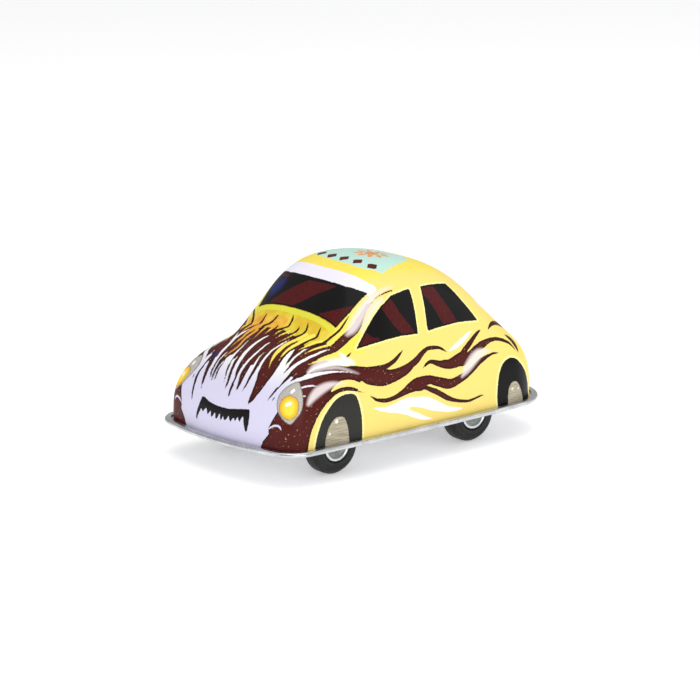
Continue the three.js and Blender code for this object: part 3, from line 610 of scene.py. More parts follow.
# Face drawings are (y, z), seen from the front. The mask and the brown cheek share an edge.
CHEEK_EDGE = [(16.5, 3), (18.5, 5.4), (18.2, 7), (19.2, 9.2), (20.1, 11.2), (19.4, 14), (19.2, 17)]
MASK = [
    (-16.2, .4), (14.8, .4), *CHEEK_EDGE, (21, 18.8), (23.5, 18.8), (24, 19.6), (22, 20.6), (20, 21.5),
    (14, 24), (8, 25), (0, 25.5), (-8, 24), (-14, 24.5), (-16, 23.5), (-19, 22.3), (-21.5, 20.5),
    (-23, 18.8), (-21, 18.8), (-19, 17), (-18.9, 14), (-19.6, 11.5), (-18.6, 9), (-17.8, 7),
    (-18.5, 5.4), (-16.5, 3),
]
CHEEK = [(14.8, -1), *CHEEK_EDGE, (19.8, 19), (32, 19), (32, -1)]
MOUTH = [
    (-8.8, 10.7), (-7.6, 10.7), (-5.5, 10.1), (-3, 9.7), (0, 9.55), (3, 9.65), (6, 10.1), (8.5, 10.5),
    (10.9, 10.8), (11.3, 9), (11.3, 7), (10.8, 4.9), (10.4, 4.3), (10, 5.1), (9.5, 6.5), (9.2, 8.5),
    (8.9, 8.7), (8.4, 7.9), (7.9, 6.9), (7.5, 7.3), (7, 8.3), (6.6, 7.4), (6.1, 6.6), (5.6, 7.9),
    (5.2, 7.3), (4.4, 6.2), (3.9, 7), (3.5, 7.9), (3, 6.9), (2, 6.1), (1.3, 7.3), (.9, 6.3), (.3, 5.9),
    (0, 7.9), (-.5, 7.2), (-1.2, 6), (-1.8, 6.1), (-2, 7.9), (-2.9, 6.6), (-3.7, 6), (-4, 7.9),
    (-4.8, 6.9), (-5.4, 6.3), (-6, 8.3), (-6.8, 7.5), (-7.6, 6.7), (-8.3, 7.7), (-9, 6.5), (-9.8, 5.2),
    (-10.2, 3.9), (-10.7, 4.3), (-10.5, 5.8), (-9.9, 7.6), (-9.3, 9.2),
]

# Corner drawings are (across, up) on a plane that faces the front left corner, 15 degrees down.
CORNER_TILT = math.radians(15)
CORNER_FACING = np.array([math.cos(CORNER_TILT) / math.sqrt(2)] * 2 + [math.sin(CORNER_TILT)])
CORNER_ACROSS = np.array([-1, 1, 0]) / math.sqrt(2)
CORNER_UP = np.cross(CORNER_FACING, CORNER_ACROSS)
FUR = [
    (-38.5, 17.9), (-36, 19.4), (-34.4, 20.2), (-33, 21.2), (-31.4, 22.4), (-30.2, 23.4),
    (-29.2, 23.3), (-27.5, 22.8), (-26.3, 21.9), (-25, 22.3), (-23.6, 22.4), (-22.3, 22.2),
    (-21.4, 21.9), (-20.4, 21.8), (-19.5, 21.9), (-18.4, 21.5), (-17.4, 20.6), (-16.2, 20.1),
    (-15, 19.6), (-14.6, 18.4), (-13.5, 17.6), (-12, 17), (-10, 17.2), (-8, 17.6), (-6.6, 18),
    (-5.2, 17), (-3.5, 18), (-1.3, 20.4), (.6, 23), (2.4, 26), (4.4, 29.3), (4.8, 29), (3.4, 25.5),
    (2.2, 22.4), (1.2, 20.4), (-.4, 18.4), (-1.9, 17), (-3.4, 15.7), (-5, 15), (-7, 14.3), (-9, 13.3),
    (-8.6, 12.6), (-9.8, 11), (-11, 9.5), (-12.5, 8.5), (-14.5, 8.1), (-15.4, 8.8), (-16, 10.2),
    (-16.4, 11.8), (-16.3, 13.5), (-15.2, 15.6), (-15.2, 16.2), (-16.6, 15.4), (-18, 13.7),
    (-19.2, 11.5), (-20, 10.1), (-20.9, 8.6), (-22.2, 6.8), (-23.3, 5.1), (-24.5, 3.6), (-25.5, 2.2),
    (-27.3, .7), (-26.7, 2.9), (-26.1, 4.5), (-25.6, 6.1), (-25.15, 7.6), (-24.9, 9), (-24.8, 10.6),
    (-25.2, 12), (-26.5, 11.8), (-28.2, 11.5), (-29.3, 12), (-30.6, 12.5), (-31.8, 12.9),
    (-32.3, 14.2), (-33.2, 14.6), (-34.4, 13.7), (-35.5, 13), (-36.5, 13.4), (-37.3, 13.9),
    (-38.2, 14.3), (-39, 14.7), (-40, 15.2), (-39.6, 16.6),
]
FUR_STROKES = [
    [(-38.5, 17.6, .4), (-39.3, 16.4, .45), (-40.1, 14.5, .35), (-40.9, 13.2, .33), (-41.7, 11.4, .3),
     (-42.3, 9.8, .3), (-42.75, 8.6, .28), (-43.1, 7, .25), (-43.45, 5.4, .2), (-43.7, 3.9, .14),
     (-43.8, 2.3, .05)],
    [(-38.2, 14.3, .5), (-38.6, 13.5, .5), (-39.15, 12.2, .5), (-39.8, 10.6, .4), (-40.25, 9, .35),
     (-40.65, 7.5, .25), (-40.95, 6.1, .12), (-41.1, 5.3, .04)],
    [(-36.5, 14.3, .35), (-37.3, 12.9, .3), (-37.9, 11.4, .25), (-38.4, 10.1, .2), (-38.6, 9, .14),
     (-38.8, 8.2, .04)],
    [(-34.5, 14.8, .5), (-35.6, 13.8, .4), (-36.3, 12.5, .38), (-36.9, 11.2, .33), (-37.5, 9.9, .25),
     (-37.9, 8.7, .18), (-38.3, 7.3, .05)],
    [(-35.2, 13.2, .4), (-35.8, 12, .32), (-36.3, 10.9, .2), (-36.7, 9.8, .18), (-37, 8.7, .14),
     (-37.4, 7.4, .05)],
    [(-32.1, 14.7, .35), (-33.1, 12.9, .25), (-33.5, 11.4, .22), (-34, 9.8, .18), (-34.2, 8.2, .1),
     (-34.5, 7, .03)],
    [(-31.5, 13, .4), (-31.8, 12.2, .38), (-32.4, 10.6, .36), (-32.9, 9, .34), (-33.2, 7.5, .25),
     (-33.7, 5.9, .15), (-34, 5, .04)],
    [(-29.6, 13, .55), (-29.9, 12, .5), (-30.7, 10.1, .45), (-31, 8.2, .36), (-31.7, 6.7, .3),
     (-32.3, 5.1, .25), (-32.75, 3.5, .16), (-32.9, 3.1, .05)],
    [(-27.4, 13, .8), (-27.9, 12, .8), (-28.8, 10.1, .75), (-29.5, 8.2, .58), (-29.9, 6.8, .38),
     (-30.4, 5.4, .2), (-30.8, 4.6, .04)],
    [(-24.05, 13.6, .3), (-25.2, 12, .35), (-26.1, 10.1, .34), (-26.9, 8.6, .28), (-28, 6.2, .18),
     (-29.05, 4.2, .05)],
    [(-15, 15.4, .4), (-15.9, 14, .28), (-16.6, 13.1, .2), (-17.2, 11.8, .06)],
    [(-13.6, 13.6, .35), (-14.7, 12.5, .36), (-15.6, 11.5, .3), (-16.6, 10.7, .18), (-17.8, 9.3, .05)],
    [(-12.8, 12, .7), (-14.4, 10.6, .55), (-15.6, 9.2, .38), (-16.7, 7.9, .32), (-17.8, 6.8, .28),
     (-19.1, 5.3, .24), (-20.3, 3.7, .18), (-21.6, 2.1, .05)],
    [(-14.4, 8.2, .4), (-15.3, 7.2, .3), (-16.4, 6.2, .25), (-17.5, 5, .22), (-18.4, 4, .19),
     (-19.4, 3.1, .14), (-20.3, 2, .04)],
    [(-24.15, 26.2, .08), (-24.7, 25.1, .15), (-25.3, 24, .2), (-26.25, 23.3, .18), (-27.5, 23, .15),
     (-28.75, 22.8, .15), (-30, 22.2, .12)],
    [(-20.6, 25.8, .08), (-21.2, 25.1, .18), (-22, 24.2, .2), (-23.1, 23.4, .2), (-24.4, 22.9, .22),
     (-25.5, 22.2, .3), (-26.4, 21.4, .35)],
    [(-20.5, 22.9, .06), (-20.9, 22.3, .15), (-21.9, 21.7, .25), (-22.6, 21.1, .35)],
    [(-16.2, 25.7, .08), (-16.4, 24.7, .2), (-16.8, 23.6, .2), (-17.5, 22.6, .2), (-18.6, 22.2, .16),
     (-20, 21.8, .18), (-21.2, 21.2, .25)],
    [(-14.2, 22.6, .08), (-14.6, 21.7, .2), (-15.5, 20.9, .2), (-16.7, 20.4, .2), (-18.1, 20.1, .3)],
    [(-11.9, 23.5, .08), (-12, 22.5, .2), (-12.3, 21.4, .2), (-13, 20.6, .22), (-14.1, 20, .22),
     (-15.4, 19.5, .26), (-16.7, 19, .3)],
    [(-8.2, 22.2, .08), (-8.6, 21.1, .2), (-9.1, 19.8, .22), (-9.9, 19.2, .2), (-11.2, 18.7, .22),
     (-12.9, 17.8, .27), (-14.4, 17, .35), (-15.7, 16.3, .4)],
    [(-.5, 25.3, .08), (-1.2, 24.2, .2), (-1.9, 23.1, .22), (-2.9, 21.6, .25), (-4.1, 20.5, .25),
     (-5.4, 19.4, .26), (-6.6, 18.4, .3), (-8.2, 17.8, .2), (-9.75, 17.3, .22), (-11.3, 16.6, .3)],
    [(-28.2, 27.5, .25), (-28.1, 25.5, .27), (-28.3, 24, .3), (-28.9, 23, .25)],
    [(-30.6, 27, .6), (-30.5, 25, .6), (-30.8, 23.6, .5), (-31.6, 22.6, .4)],
    [(.5, 15.5, .06), (-.1, 14.9, .2), (-.7, 14.2, .18)],
]
FUR_YELLOW = [
    [(-28.8, 23.9, .3), (-29.9, 23.1, .2), (-31, 22.5, .24), (-32.1, 21.7, .2), (-33.1, 21, .15),
     (-34, 20.3, .12), (-34.4, 19.7, .04)],
    [(-26, 23.4, .15), (-27.1, 23.3, .22), (-28.4, 22.9, .22), (-29.5, 22.3, .18), (-30.4, 21.7, .14),
     (-31.3, 20.9, .04)],
    [(-25.6, 22.6, .3), (-26.9, 22.4, .5), (-28, 21.8, .42), (-29.05, 21.1, .32), (-30, 20.3, .28),
     (-30.7, 19.5, .24), (-31.8, 18.6, .18), (-32.9, 17.6, .12), (-33.8, 16.8, .03)],
    [(-26.4, 21.8, .35), (-27.5, 20.9, .3), (-28.75, 20, .26), (-30, 18.9, .25), (-31.3, 17.2, .22),
     (-32.4, 16.2, .18), (-33.5, 15.4, .13), (-34.6, 14.5, .08), (-35.2, 14, .03)],
    [(-21.9, 23.1, .1), (-23.1, 22.8, .2), (-24.2, 22.2, .22), (-25.2, 21.4, .2), (-26.1, 20.4, .15),
     (-27, 19.5, .1), (-27.6, 18.9, .03)],
    [(-21.2, 22.6, .25), (-22.2, 22, .24), (-23, 21.5, .18), (-23.6, 20.9, .11), (-24, 20.5, .03)],
    [(-17.2, 22, .1), (-18.4, 21.75, .12), (-19.7, 21.35, .12), (-20.8, 20.7, .1), (-21.9, 19.7, .03)],
    [(-16.9, 21.3, .25), (-18.1, 20.75, .22), (-19.2, 20.3, .18), (-20, 19.8, .12), (-20.9, 19.3, .03)],
    [(-15.2, 20.6, .15), (-16.4, 20, .17), (-17.65, 19.3, .14), (-19.1, 18.6, .08), (-20.6, 17.6, .02)],
    [(-12, 20.4, .4), (-13.6, 19.5, .4), (-15.2, 18.7, .36), (-16.7, 18.05, .4), (-18.1, 17.2, .45),
     (-19.2, 16.2, .5), (-20.2, 15.1, .46), (-20.9, 14, .36), (-21.4, 12.9, .22), (-21.7, 11.8, .12),
     (-21.95, 10.4, .03)],
    [(-10, 20.1, .5), (-11.6, 19.3, .5), (-13.1, 18.5, .42), (-14.7, 17.6, .4), (-15.9, 16.9, .38),
     (-17, 16.1, .32), (-18, 15.1, .26), (-18.6, 14.2, .17), (-19.1, 13.4, .1), (-19.3, 12.8, .03)],
    [(-7.6, 18.5, .35), (-9.3, 18.2, .3), (-10.7, 17.65, .28), (-12.1, 17, .22), (-13.2, 16.4, .13),
     (-14.3, 15.9, .04)],
    [(1.9, 27.8, .7), (.4, 25.6, .6), (-.7, 23.7, .46), (-1.9, 21.6, .34), (-3.2, 20.2, .3),
     (-4.4, 18.75, .3), (-5.8, 17.5, .3), (-7.25, 17, .26), (-9, 16.5, .23), (-10.5, 15.9, .18),
     (-11.9, 15.2, .1), (-13.3, 14.2, .02)],
    [(-4.5, 14.4, .6), (-6.5, 13.7, .42), (-8, 13.1, .32), (-9.5, 12.6, .19), (-10.5, 12.2, .1),
     (-11.2, 12, .03)],
    [(-29.1, 27.5, .5), (-29.1, 25.5, .5), (-29.2, 24.4, .35)],
]
FUR_WHITE = [
    [(-35.9, 19, .08), (-36.65, 18.1, .18), (-37.4, 17, .24), (-38.4, 15.6, .26), (-39.15, 14.2, .3),
     (-39.9, 12.6, .34), (-40.5, 11.2, .3)],
    [(-28.7, 22, .06), (-29.6, 21.5, .12), (-30.7, 20.9, .18), (-32, 20, .22), (-33.1, 19, .25),
     (-34, 17.9, .27), (-35.1, 16.7, .3), (-36.2, 15.4, .3), (-37.1, 14, .3), (-37.9, 12.5, .3),
     (-38.7, 10.7, .3)],
    [(-34.5, 15.4, .06), (-35.25, 14.65, .13), (-36.2, 13.6, .15), (-37.1, 12, .17), (-37.75, 10.6, .17),
     (-38.2, 9, .15)],
    [(-34.6, 13.25, .06), (-35.4, 12.5, .13), (-36.2, 11.5, .14), (-37, 10.1, .14), (-37.6, 8.6, .12)],
    [(-28.2, 19.3, .05), (-29, 18.4, .1), (-29.9, 17.3, .14), (-30.9, 16.2, .17), (-32, 15, .25),
     (-33.1, 13.7, .45), (-34, 12, .5)],
    [(-31.3, 14, .08), (-32, 13.25, .16), (-32.6, 12.2, .2), (-33.1, 10.6, .22), (-33.4, 9, .22)],
    [(-22.8, 20, .06), (-24.05, 19.5, .18), (-25.3, 18.7, .24), (-26.4, 17.9, .26), (-27.65, 16.8, .34),
     (-28.75, 15.6, .4), (-29.7, 14.3, .45), (-30.7, 12.6, .43), (-31.5, 11, .4), (-32, 9.6, .36)],
    [(-22.2, 18.1, .06), (-23.3, 17.5, .16), (-24.5, 16.4, .2), (-25.6, 15.4, .2), (-26.7, 14.3, .24),
     (-28, 12.9, .26), (-29.05, 11.4, .3), (-30, 9.8, .33), (-30.6, 8.2, .33), (-31.3, 6.5, .28)],
    [(-23.75, 15.2, .05), (-24.5, 14.5, .13), (-25.3, 13.25, .2), (-26.1, 11.7, .27), (-26.9, 10.2, .33),
     (-28.1, 8.25, .38)],
    [(-16.7, 18.95, .05), (-17.8, 18.3, .14), (-19.1, 17.5, .19), (-20.3, 16.7, .2), (-21.6, 15.75, .22),
     (-22.8, 14.3, .25), (-23.75, 12.9, .3), (-24.5, 11.4, .34), (-25.1, 10, .42)],
    [(-14.7, 16.4, .05), (-15.6, 15.75, .22), (-16.4, 14.8, .33), (-17.2, 13.7, .45), (-18, 12.2, .5)],
    [(-11.25, 16.5, .05), (-12.3, 16.1, .17), (-13.4, 15.3, .22), (-14.4, 14.5, .24), (-15.3, 13.6, .25),
     (-16.1, 12.5, .26), (-16.9, 11.4, .3)],
    [(-5.2, 16.25, .05), (-6.3, 16, .16), (-7.7, 15.5, .24), (-9.3, 14.7, .3), (-10.7, 14.1, .34),
     (-12.1, 13.3, .38), (-13.5, 12.5, .4), (-14.75, 11.6, .44), (-16, 10.3, .5), (-17.5, 8.5, .6),
     (-19.1, 6.4, .7)],
    [(-14.05, 9.5, .05), (-14.85, 8.7, .11), (-15.6, 7.6, .18), (-16.7, 6.7, .2), (-17.8, 5.6, .22),
     (-19.1, 4.2, .24), (-20.2, 2.8, .24)],
    [(-17.2, 20.6, .1), (-18, 20.4, .08)],
]
UPPER_FENDER = [
    (-12, 9.5), (-12, 12.2), (-8.6, 13.3), (-6, 13.2), (-4, 12.2), (-1, 11.7), (3, 11), (3.2, 9.6),
    (-4, 9.6),
]
LOWER_FENDER = [
    (-21, -12), (-10.4, -12), (-9.7, -7.5), (-9, -5.2), (-8, -2.7), (-7, -.8), (-5.5, 1.5),
    (-3.5, 3.7), (-2, 4.7), (0, 5.2), (1, 5.4), (2.5, 5.2), (2.5, 5.7), (1, 6.1), (0, 6.2), (-1.5, 6),
    (-3, 5.4), (-4.9, 4.1), (-4.2, 5.4), (-3.1, 6.8), (-1.9, 7.8), (0, 8.1), (1.5, 7.9), (3.2, 7.3),
    (3.2, 9.7), (0, 10), (-4, 9.9), (-6, 9.5), (-8, 9), (-10, 8.3), (-12, 7.7), (-13.5, 7.2), (-16, 3),
    (-17.6, -1.4), (-18.9, -1.5), (-20, -3.4), (-21, -5.2),
]
BROW = [
    [(-19, 3.3, .6), (-17.5, 5, .5), (-16, 6.4, .45), (-14.5, 7.3, .42), (-13, 7.95, .4),
     (-11.5, 8.45, .45), (-10, 9, .5), (-8, 9.55, .42), (-6, 9.9, .36), (-4, 10.15, .26),
     (-2, 10.2, .18), (0, 10.15, .14), (1.8, 9.85, .06)],
    [(-12.7, 5.5, .2), (-11, 6.05, .25), (-9.5, 6.25, .24), (-8.2, 6.15, .1)],
    [(-12.1, 3.4, .22), (-11.5, 3.4, .22), (-11.1, 3.4, .1)],
    [(-21.6, -6, .1), (-20.5, -5.2, .25), (-19.4, -4.75, .28), (-18.5, -4.7, .28), (-17.8, -5.1, .25),
     (-17.35, -6.1, .08)],
]
# White streaks on the fender and along the pillar: painted highlights.
FENDER_LIGHT = [
    [(-10.8, 9.7, .1), (-9, 10.9, .3), (-7, 11.7, .5), (-5, 12.3, .6), (-3, 12.7, .75), (-1, 12.9, .9),
     (.3, 12.9, .7), (1, 12.6, .4)],
    [(-2.5, 15.2, .2), (-1.5, 14.3, .4), (-.5, 13.3, .5)],
    [(3.4, 18.5, .25), (4.3, 21.3, .45), (5.8, 24.1, .5), (7.3, 26.8, .55), (9.2, 29, .5),
     (11.2, 31, .3)],
]
# Pale sheens on the fender and the pillar: painted highlights.
FENDER_SHEEN = [
    [(-10.2, 1.2, .5), (-9.3, 2.9, 1), (-7.9, 4.6, 1.3), (-6.3, 5.8, 1.2), (-4.6, 6.6, .9),
     (-2.9, 7, .5), (-.8, 7.1, .15)],
    [(-10.6, 10, .5), (-9, 11.6, .8), (-7, 12.7, .7), (-5, 13.2, .6), (-3, 13.6, .4), (-1.5, 13.9, .2)],
    [(-9.5, 10, .3), (-7, 10.8, .35), (-5, 11.1, .4), (-3, 11.3, .4), (-1, 10.9, .35), (1, 10.3, .25),
     (2.5, 9.8, .1)],
    [(3.1, 21.3, .25), (4.3, 24.1, .5), (5.5, 26.8, .65), (7.1, 29, .7), (9.4, 31, .5),
     (11.8, 32.2, .2)],
]
PILLAR_STROKES = [
    [(-8, 14.8, .6), (-6.5, 15.4, .75), (-5, 16.2, .9), (-3.6, 17.3, 1.05), (-2.2, 18.6, 1.15),
     (-.6, 20, 1.2), (1, 21.4, 1.15), (2, 22.8, .95), (2.7, 24.3, .7), (3.4, 25.8, .45),
     (4.1, 27.3, .28), (5.3, 29, .2), (6.6, 30.6, .16), (8.4, 31.8, .2), (10.4, 32.7, .2),
     (12.7, 33, .05)],
]
WINDSHIELD_BARS = [
    [(-25.1, 28.6), (-22.9, 30.5), (-20.7, 32), (-16.4, 34.4), (-12.5, 35.9), (-7.7, 35), (-3.1, 33.9),
     (-6.1, 32.6), (-9.2, 31.5), (-12, 30.2), (-16.1, 28.3), (-20, 26)],
    [(-10.1, 26.3), (-7.2, 26.9), (-3.1, 27.9), (1.5, 28.9), (-3.9, 21.5), (-8, 24)],
    [(-21.5, 36.3), (-19.8, 37.9), (-17.2, 37.5), (-18.6, 36.2)],
]
# Blue gleams: painted reflections on the windshield and on the fender, as corner strokes of (across, up,
# half width).
BLUE_REFLECTIONS = [
    [(-23.5, 31.5, .2), (-22, 33.5, 1), (-20.5, 35, .8), (-19, 36.2, .1)],
    [(-38.6, 13.9, .1), (-37.8, 14.8, .35), (-37.1, 15.6, .1)],
]
LAMP = [
    (-13.1, 7), (-12.5, 5.5), (-12, 4), (-11.8, 2.3), (-11.8, .8), (-12.2, -.8), (-12.9, -2),
    (-13.8, -3.1), (-14.9, -4.2), (-16.2, -3.6), (-17.2, -2.6), (-18.2, -1.1), (-18.6, .4), (-18.6, 2),
    (-18.2, 3.4), (-17.4, 4.6), (-16.4, 5.6), (-15.3, 6.3), (-14.2, 6.9),
]
EYE = [
    (-15.3, 3.4), (-16.6, 3), (-17.5, 2), (-18, .6), (-17.9, -.7), (-17.3, -1.9), (-16.3, -2.7),
    (-15.2, -3), (-14.2, -2.6), (-13.4, -1.7), (-12.95, -.5), (-12.85, .7), (-13.1, 1.9), (-13.9, 2.9),
]
EYE_GLINTS = [[(-16, .95, .5), (-15.2, 1.3, .5)], [(-14.9, 4.4, .38), (-14.35, 4.95, .42)]]
COWL_ORANGE = [
    (-29, 25.4), (-23, 25.6), (-17, 25.3), (-17.2, 23.4), (-18.5, 22.6), (-22, 21.6), (-29, 22),
]

# Top drawings of the roof's patch are (x, y): a ragged patch, a row of lozenges and a sun.
PATCH = [
    (8.6, 1), (8.1, 8.6), (6.9, 11.5), (4.8, 13.3), (3.2, 15.4), (2.6, 13.9), (1.6, 14.9), (.8, 13.3),
    (-.5, 14.2), (-1.4, 12.7), (-3, 13.5), (-3.9, 12.1), (-6, 12.4), (-6.9, 10.9), (-9.3, 10.6),
    (-11.5, 8.6), (-12.4, 4.7), (-12.6, -3), (-11.8, -7), (-9.6, -9.6), (-6.6, -10.6), (-4, -12),
    (0, -12.4), (4, -12), (6.8, -9.6), (8.2, -5),
]
LOZENGES = [(6, -7.4), (6.5, -2.6), (6.3, 2.2), (5.6, 7), (4.2, 11.4)]
SUN_CENTRE = (-3.2, 3)
SUN_RADIUS = 3.9
SUN_RAYS = 9
SUN_RAY_REACH = 1.3
SUN_RING_RADIUS = 2.3
# The x of the painted highlight along the windshield's foot, and its half width, in millimetres.
FOOT_HIGHLIGHT_X = 22.8
FOOT_HIGHLIGHT_HALF = 0.5


# ------------------------------------------------------------------ the printed picture: its fields

def mirrored(points):
    """The same drawing on both sides: every point moved to the left half."""
    return np.stack([points[:, 0], np.abs(points[:, 1]), points[:, 2]], 1)


class Views:
    """The shell's points on the plane of each kind of drawing, and which of them each kind prints on.
    Planes called left hold mirrored points, so that one drawing serves both sides."""

    def __init__(self, points):
        left = mirrored(points)
        self.x, self.y, self.z = left.T
        self.side = left[:, [0, 2]]
        self.tail = np.stack([(self.x + self.y) / math.sqrt(2), self.z], 1)
        self.top = points[:, :2]
        self.top_left = left[:, :2]
        self.face = points[:, 1:]
        self.face_left = left[:, 1:]
        self.corner = np.stack([points @ CORNER_ACROSS, points @ CORNER_UP], 1)
        self.corner_left = np.stack([left @ CORNER_ACROSS, left @ CORNER_UP], 1)
        as_drawn = points[:, 1] > -15.5 - 3.5 * ease(23, 26, self.z)
        self.fur = np.where(as_drawn[:, None], self.corner, self.corner_left)
        self.ahead = self.x > 17.6
        self.on_side = (self.y > 15.5) | (~self.ahead & (self.x > -33))
        self.on_tail = self.x < -20
        self.on_fur = (self.x > 12) & (points @ CORNER_FACING > 3)
        self.at_corner = (self.x > 8) & (self.y > 12)
        self.by_pillar = (self.x > 3) & (self.y > 12)
        self.on_wheel = self.y > 18
        self.on_roof = self.z > 35


def stripe_fields(view):
    """The flames, the fur and the cheeks in brown, with their white and yellow strands."""
    white = np.maximum(strokes(view.side, SIDE_WHITE_STROKES), -strokes(view.side, SIDE_WHITE_SLITS))
    flames = np.maximum(strokes(view.side, SIDE_BROWN_STROKES), -strokes(view.side, SIDE_YELLOW_SLITS))
    fur = np.minimum(area(view.fur, FUR), strokes(view.fur, FUR_STROKES) - STRAND_SPREAD)
    brown = np.minimum.reduce([
        only_where(flames, view.on_side),
        only_where(strokes(view.tail, TAIL_STROKES), view.on_tail),
        only_where(fur, view.on_fur),
        only_where(area(view.face_left, CHEEK), view.x > 42),
        only_where(areas(view.corner_left, [UPPER_FENDER, LOWER_FENDER]), view.at_corner),
        only_where(strokes(view.corner_left, PILLAR_STROKES), view.by_pillar),
    ])
    fur_hairs = only_where(strokes(view.fur, FUR_WHITE), view.on_fur)
    brow = only_where(strokes(view.corner_left, BROW), view.at_corner)
    tongues = only_where(strokes(view.fur, FUR_YELLOW), view.on_fur)
    return {"white": only_where(white, view.on_side), "brown": brown, "tongues": tongues,
            "hairs": np.minimum(fur_hairs, brow)}


def light_fields(view):
    """The printed light, painted highlights: white streaks on the fender and along the pillar, and the
    pale sheens.
    """
    sheens = [
        only_where(strokes(view.side, SIDE_SHEEN), view.on_side),
        only_where(strokes(view.corner_left, FENDER_SHEEN), view.at_corner),
        only_where(stroke(view.tail, TAIL_SHEEN), view.on_tail),
    ]
    return {"light": only_where(strokes(view.corner_left, FENDER_LIGHT), view.by_pillar),
            "sheen": np.minimum.reduce(sheens)}


def window_fields(view):
    """The painted windows with their bars and the white band; painted highlights at their edges and
    painted blue reflections.
    """
    x, y, z = view.x, view.y, view.z
    side_windows = only_where(areas(view.side, SIDE_WINDOWS), z > 20)
    windshield = only_where(area(view.top_left, WINDSHIELD), z > 27)
    rear_window = only_where(area(view.top_left, REAR_WINDOW, smooth=True), z > 25)
    glass = np.minimum.reduce([side_windows, windshield, rear_window])
    on_windshield = (z > 27) & (x > 10) & (y < 17.6)
    bars = np.minimum(only_where(areas(view.side, SIDE_WINDOW_BARS), y > 15),
                      only_where(areas(view.corner, WINDSHIELD_BARS), on_windshield))
    return {
        "glass": glass,
        # painted highlight: a pale rim just outside the side and rear windows
        "frame": np.minimum(side_windows, rear_window),
        "bars": np.maximum(bars, glass),
        # painted reflection: the blue gleams
        "blue_reflection": only_where(strokes(view.corner, BLUE_REFLECTIONS), (x > 12) & (y < 18)),
        # painted highlight: a pale line along the windshield's foot
        "foot_highlight": only_where(np.abs(x - FOOT_HIGHLIGHT_X) - FOOT_HIGHLIGHT_HALF, (z > 27) & (y < 16.4)),
        "band": only_where(area(view.top_left, WHITE_BAND, smooth=True), z > 27),
    }


def wheel_fields(view):
    """The painted wheels on the sides."""
    return {
        "tyre": only_where(areas(view.side, PAINTED_TYRES, smooth=True), view.on_wheel),
        "hub": only_where(areas(view.side, PAINTED_HUBS, smooth=True), view.on_wheel),
        # painted highlights: the hubs' pale glints
        "hub_glints": only_where(dots(view.side, HUB_GLINTS), view.on_wheel),
    }


def beast_fields(view):
    """The beast's face: the white mask, the mouth, and the eyes in their lamps."""
    mask = area(view.face, MASK, smooth=True) - 0.8 * ease(18, 15, view.z)
    return {
        "mask": only_where(mask, view.x > 20),
        "mouth": only_where(area(view.face, MOUTH), view.x > 35),
        "lamp": only_where(area(view.corner_left, LAMP, smooth=True), view.at_corner),
        "eye": only_where(area(view.corner_left, EYE, smooth=True), view.at_corner),
        "glints": only_where(strokes(view.corner_left, EYE_GLINTS), view.at_corner),
    }


def patch_fields(view):
    """The patch on the roof, with its sun and its row of lozenges."""
    ahead, aside = (view.top - SUN_CENTRE).T
    reach = np.hypot(ahead, aside)
    rays = SUN_RADIUS + SUN_RAY_REACH * np.cos(SUN_RAYS * np.arctan2(aside, ahead))
    sun = np.maximum(reach - rays, 0.3 - np.abs(reach - SUN_RING_RADIUS))
    x, y = view.top.T
    lozenges = [np.abs(x - a) * 0.8 + np.abs(y - b) * 0.9 - 1.5 for a, b in LOZENGES]
    return {
        "patch": only_where(area(view.top, PATCH), view.on_roof),
        "sun": only_where(sun, view.on_roof),
        "lozenges": only_where(np.minimum.reduce(lozenges), view.on_roof),
    }


def paint_fields(view):
    """Where the paint changes, from 0 to 1: its tone, the orange cowl, the olive bonnet, the rear half,
    where painted shade darkens the painted tyres, and the low parts of the car."""
    x, y, z = view.x, view.y, view.z
    across, up = view.corner.T
    roof = ease(36, 42, z) * ease(-26, -16, x) * (1 - ease(12, 18, y)) + ease(-26, -44, x) * 0.5
    orange = ease(0.4, -0.8, only_where(area(view.corner, COWL_ORANGE, smooth=True), view.ahead))
    warm = view.ahead * (1 - ease(-25.5, -23, across)) * (1 - ease(22.4, 23.2, up))
    warm = warm * ease(19, 21, z) * ease(20, 17, y)
    return {
        "tone": np.maximum(np.clip(roof, 0, 1), view.ahead * (z > 24)),
        "cowl": np.maximum(orange, warm),
        "olive": (x > 21) * ease(21, 24, z) * ease(18, 13, y),
        # painted shade: the rear painted tyres print darker than the front ones
        "rear": (x < 0) * 1.0,
        "low": ease(25, 13, z),
    }


def picture(points):
    """Every ink of the print as a signed distance over the shell's points, in millimetres, and the
    paint's changes from 0 to 1."""
    view = Views(points)
    fields = {}
    for part in (stripe_fields, light_fields, window_fields, wheel_fields, beast_fields, patch_fields,
                 paint_fields):
        fields.update(part(view))
    return fields


def mesh_points(thing):
    """A mesh's points in millimetres, in the car's own frame."""
    points = np.empty(len(thing.data.vertices) * 3)
    thing.data.vertices.foreach_get("co", points)
    return points.reshape(-1, 3) / MM - ORIGIN


def store(thing, name, values):
    """Stores one number on each of a mesh's points, under a name that a material can read."""
    attribute = thing.data.attributes.new(name, "FLOAT", "POINT")
    attribute.data.foreach_set("value", values.astype(np.float32))


def print_picture(thing):
    """Stores the picture's distance fields on the shell's vertices, where its material reads them."""
    for name, values in picture(mesh_points(thing)).items():
        store(thing, name, np.clip(values, DEEPEST, FAR))


# ------------------------------------------------------------------ materials

def srgb(red, green, blue):
    """Screen colour numbers, 0 to 255, as the linear colour that shaders use."""
    def linear(value):
        value /= 255
        return value / 12.92 if value <= 0.04045 else ((value + 0.055) / 1.055) ** 2.4
    return (linear(red), linear(green), linear(blue), 1.0)


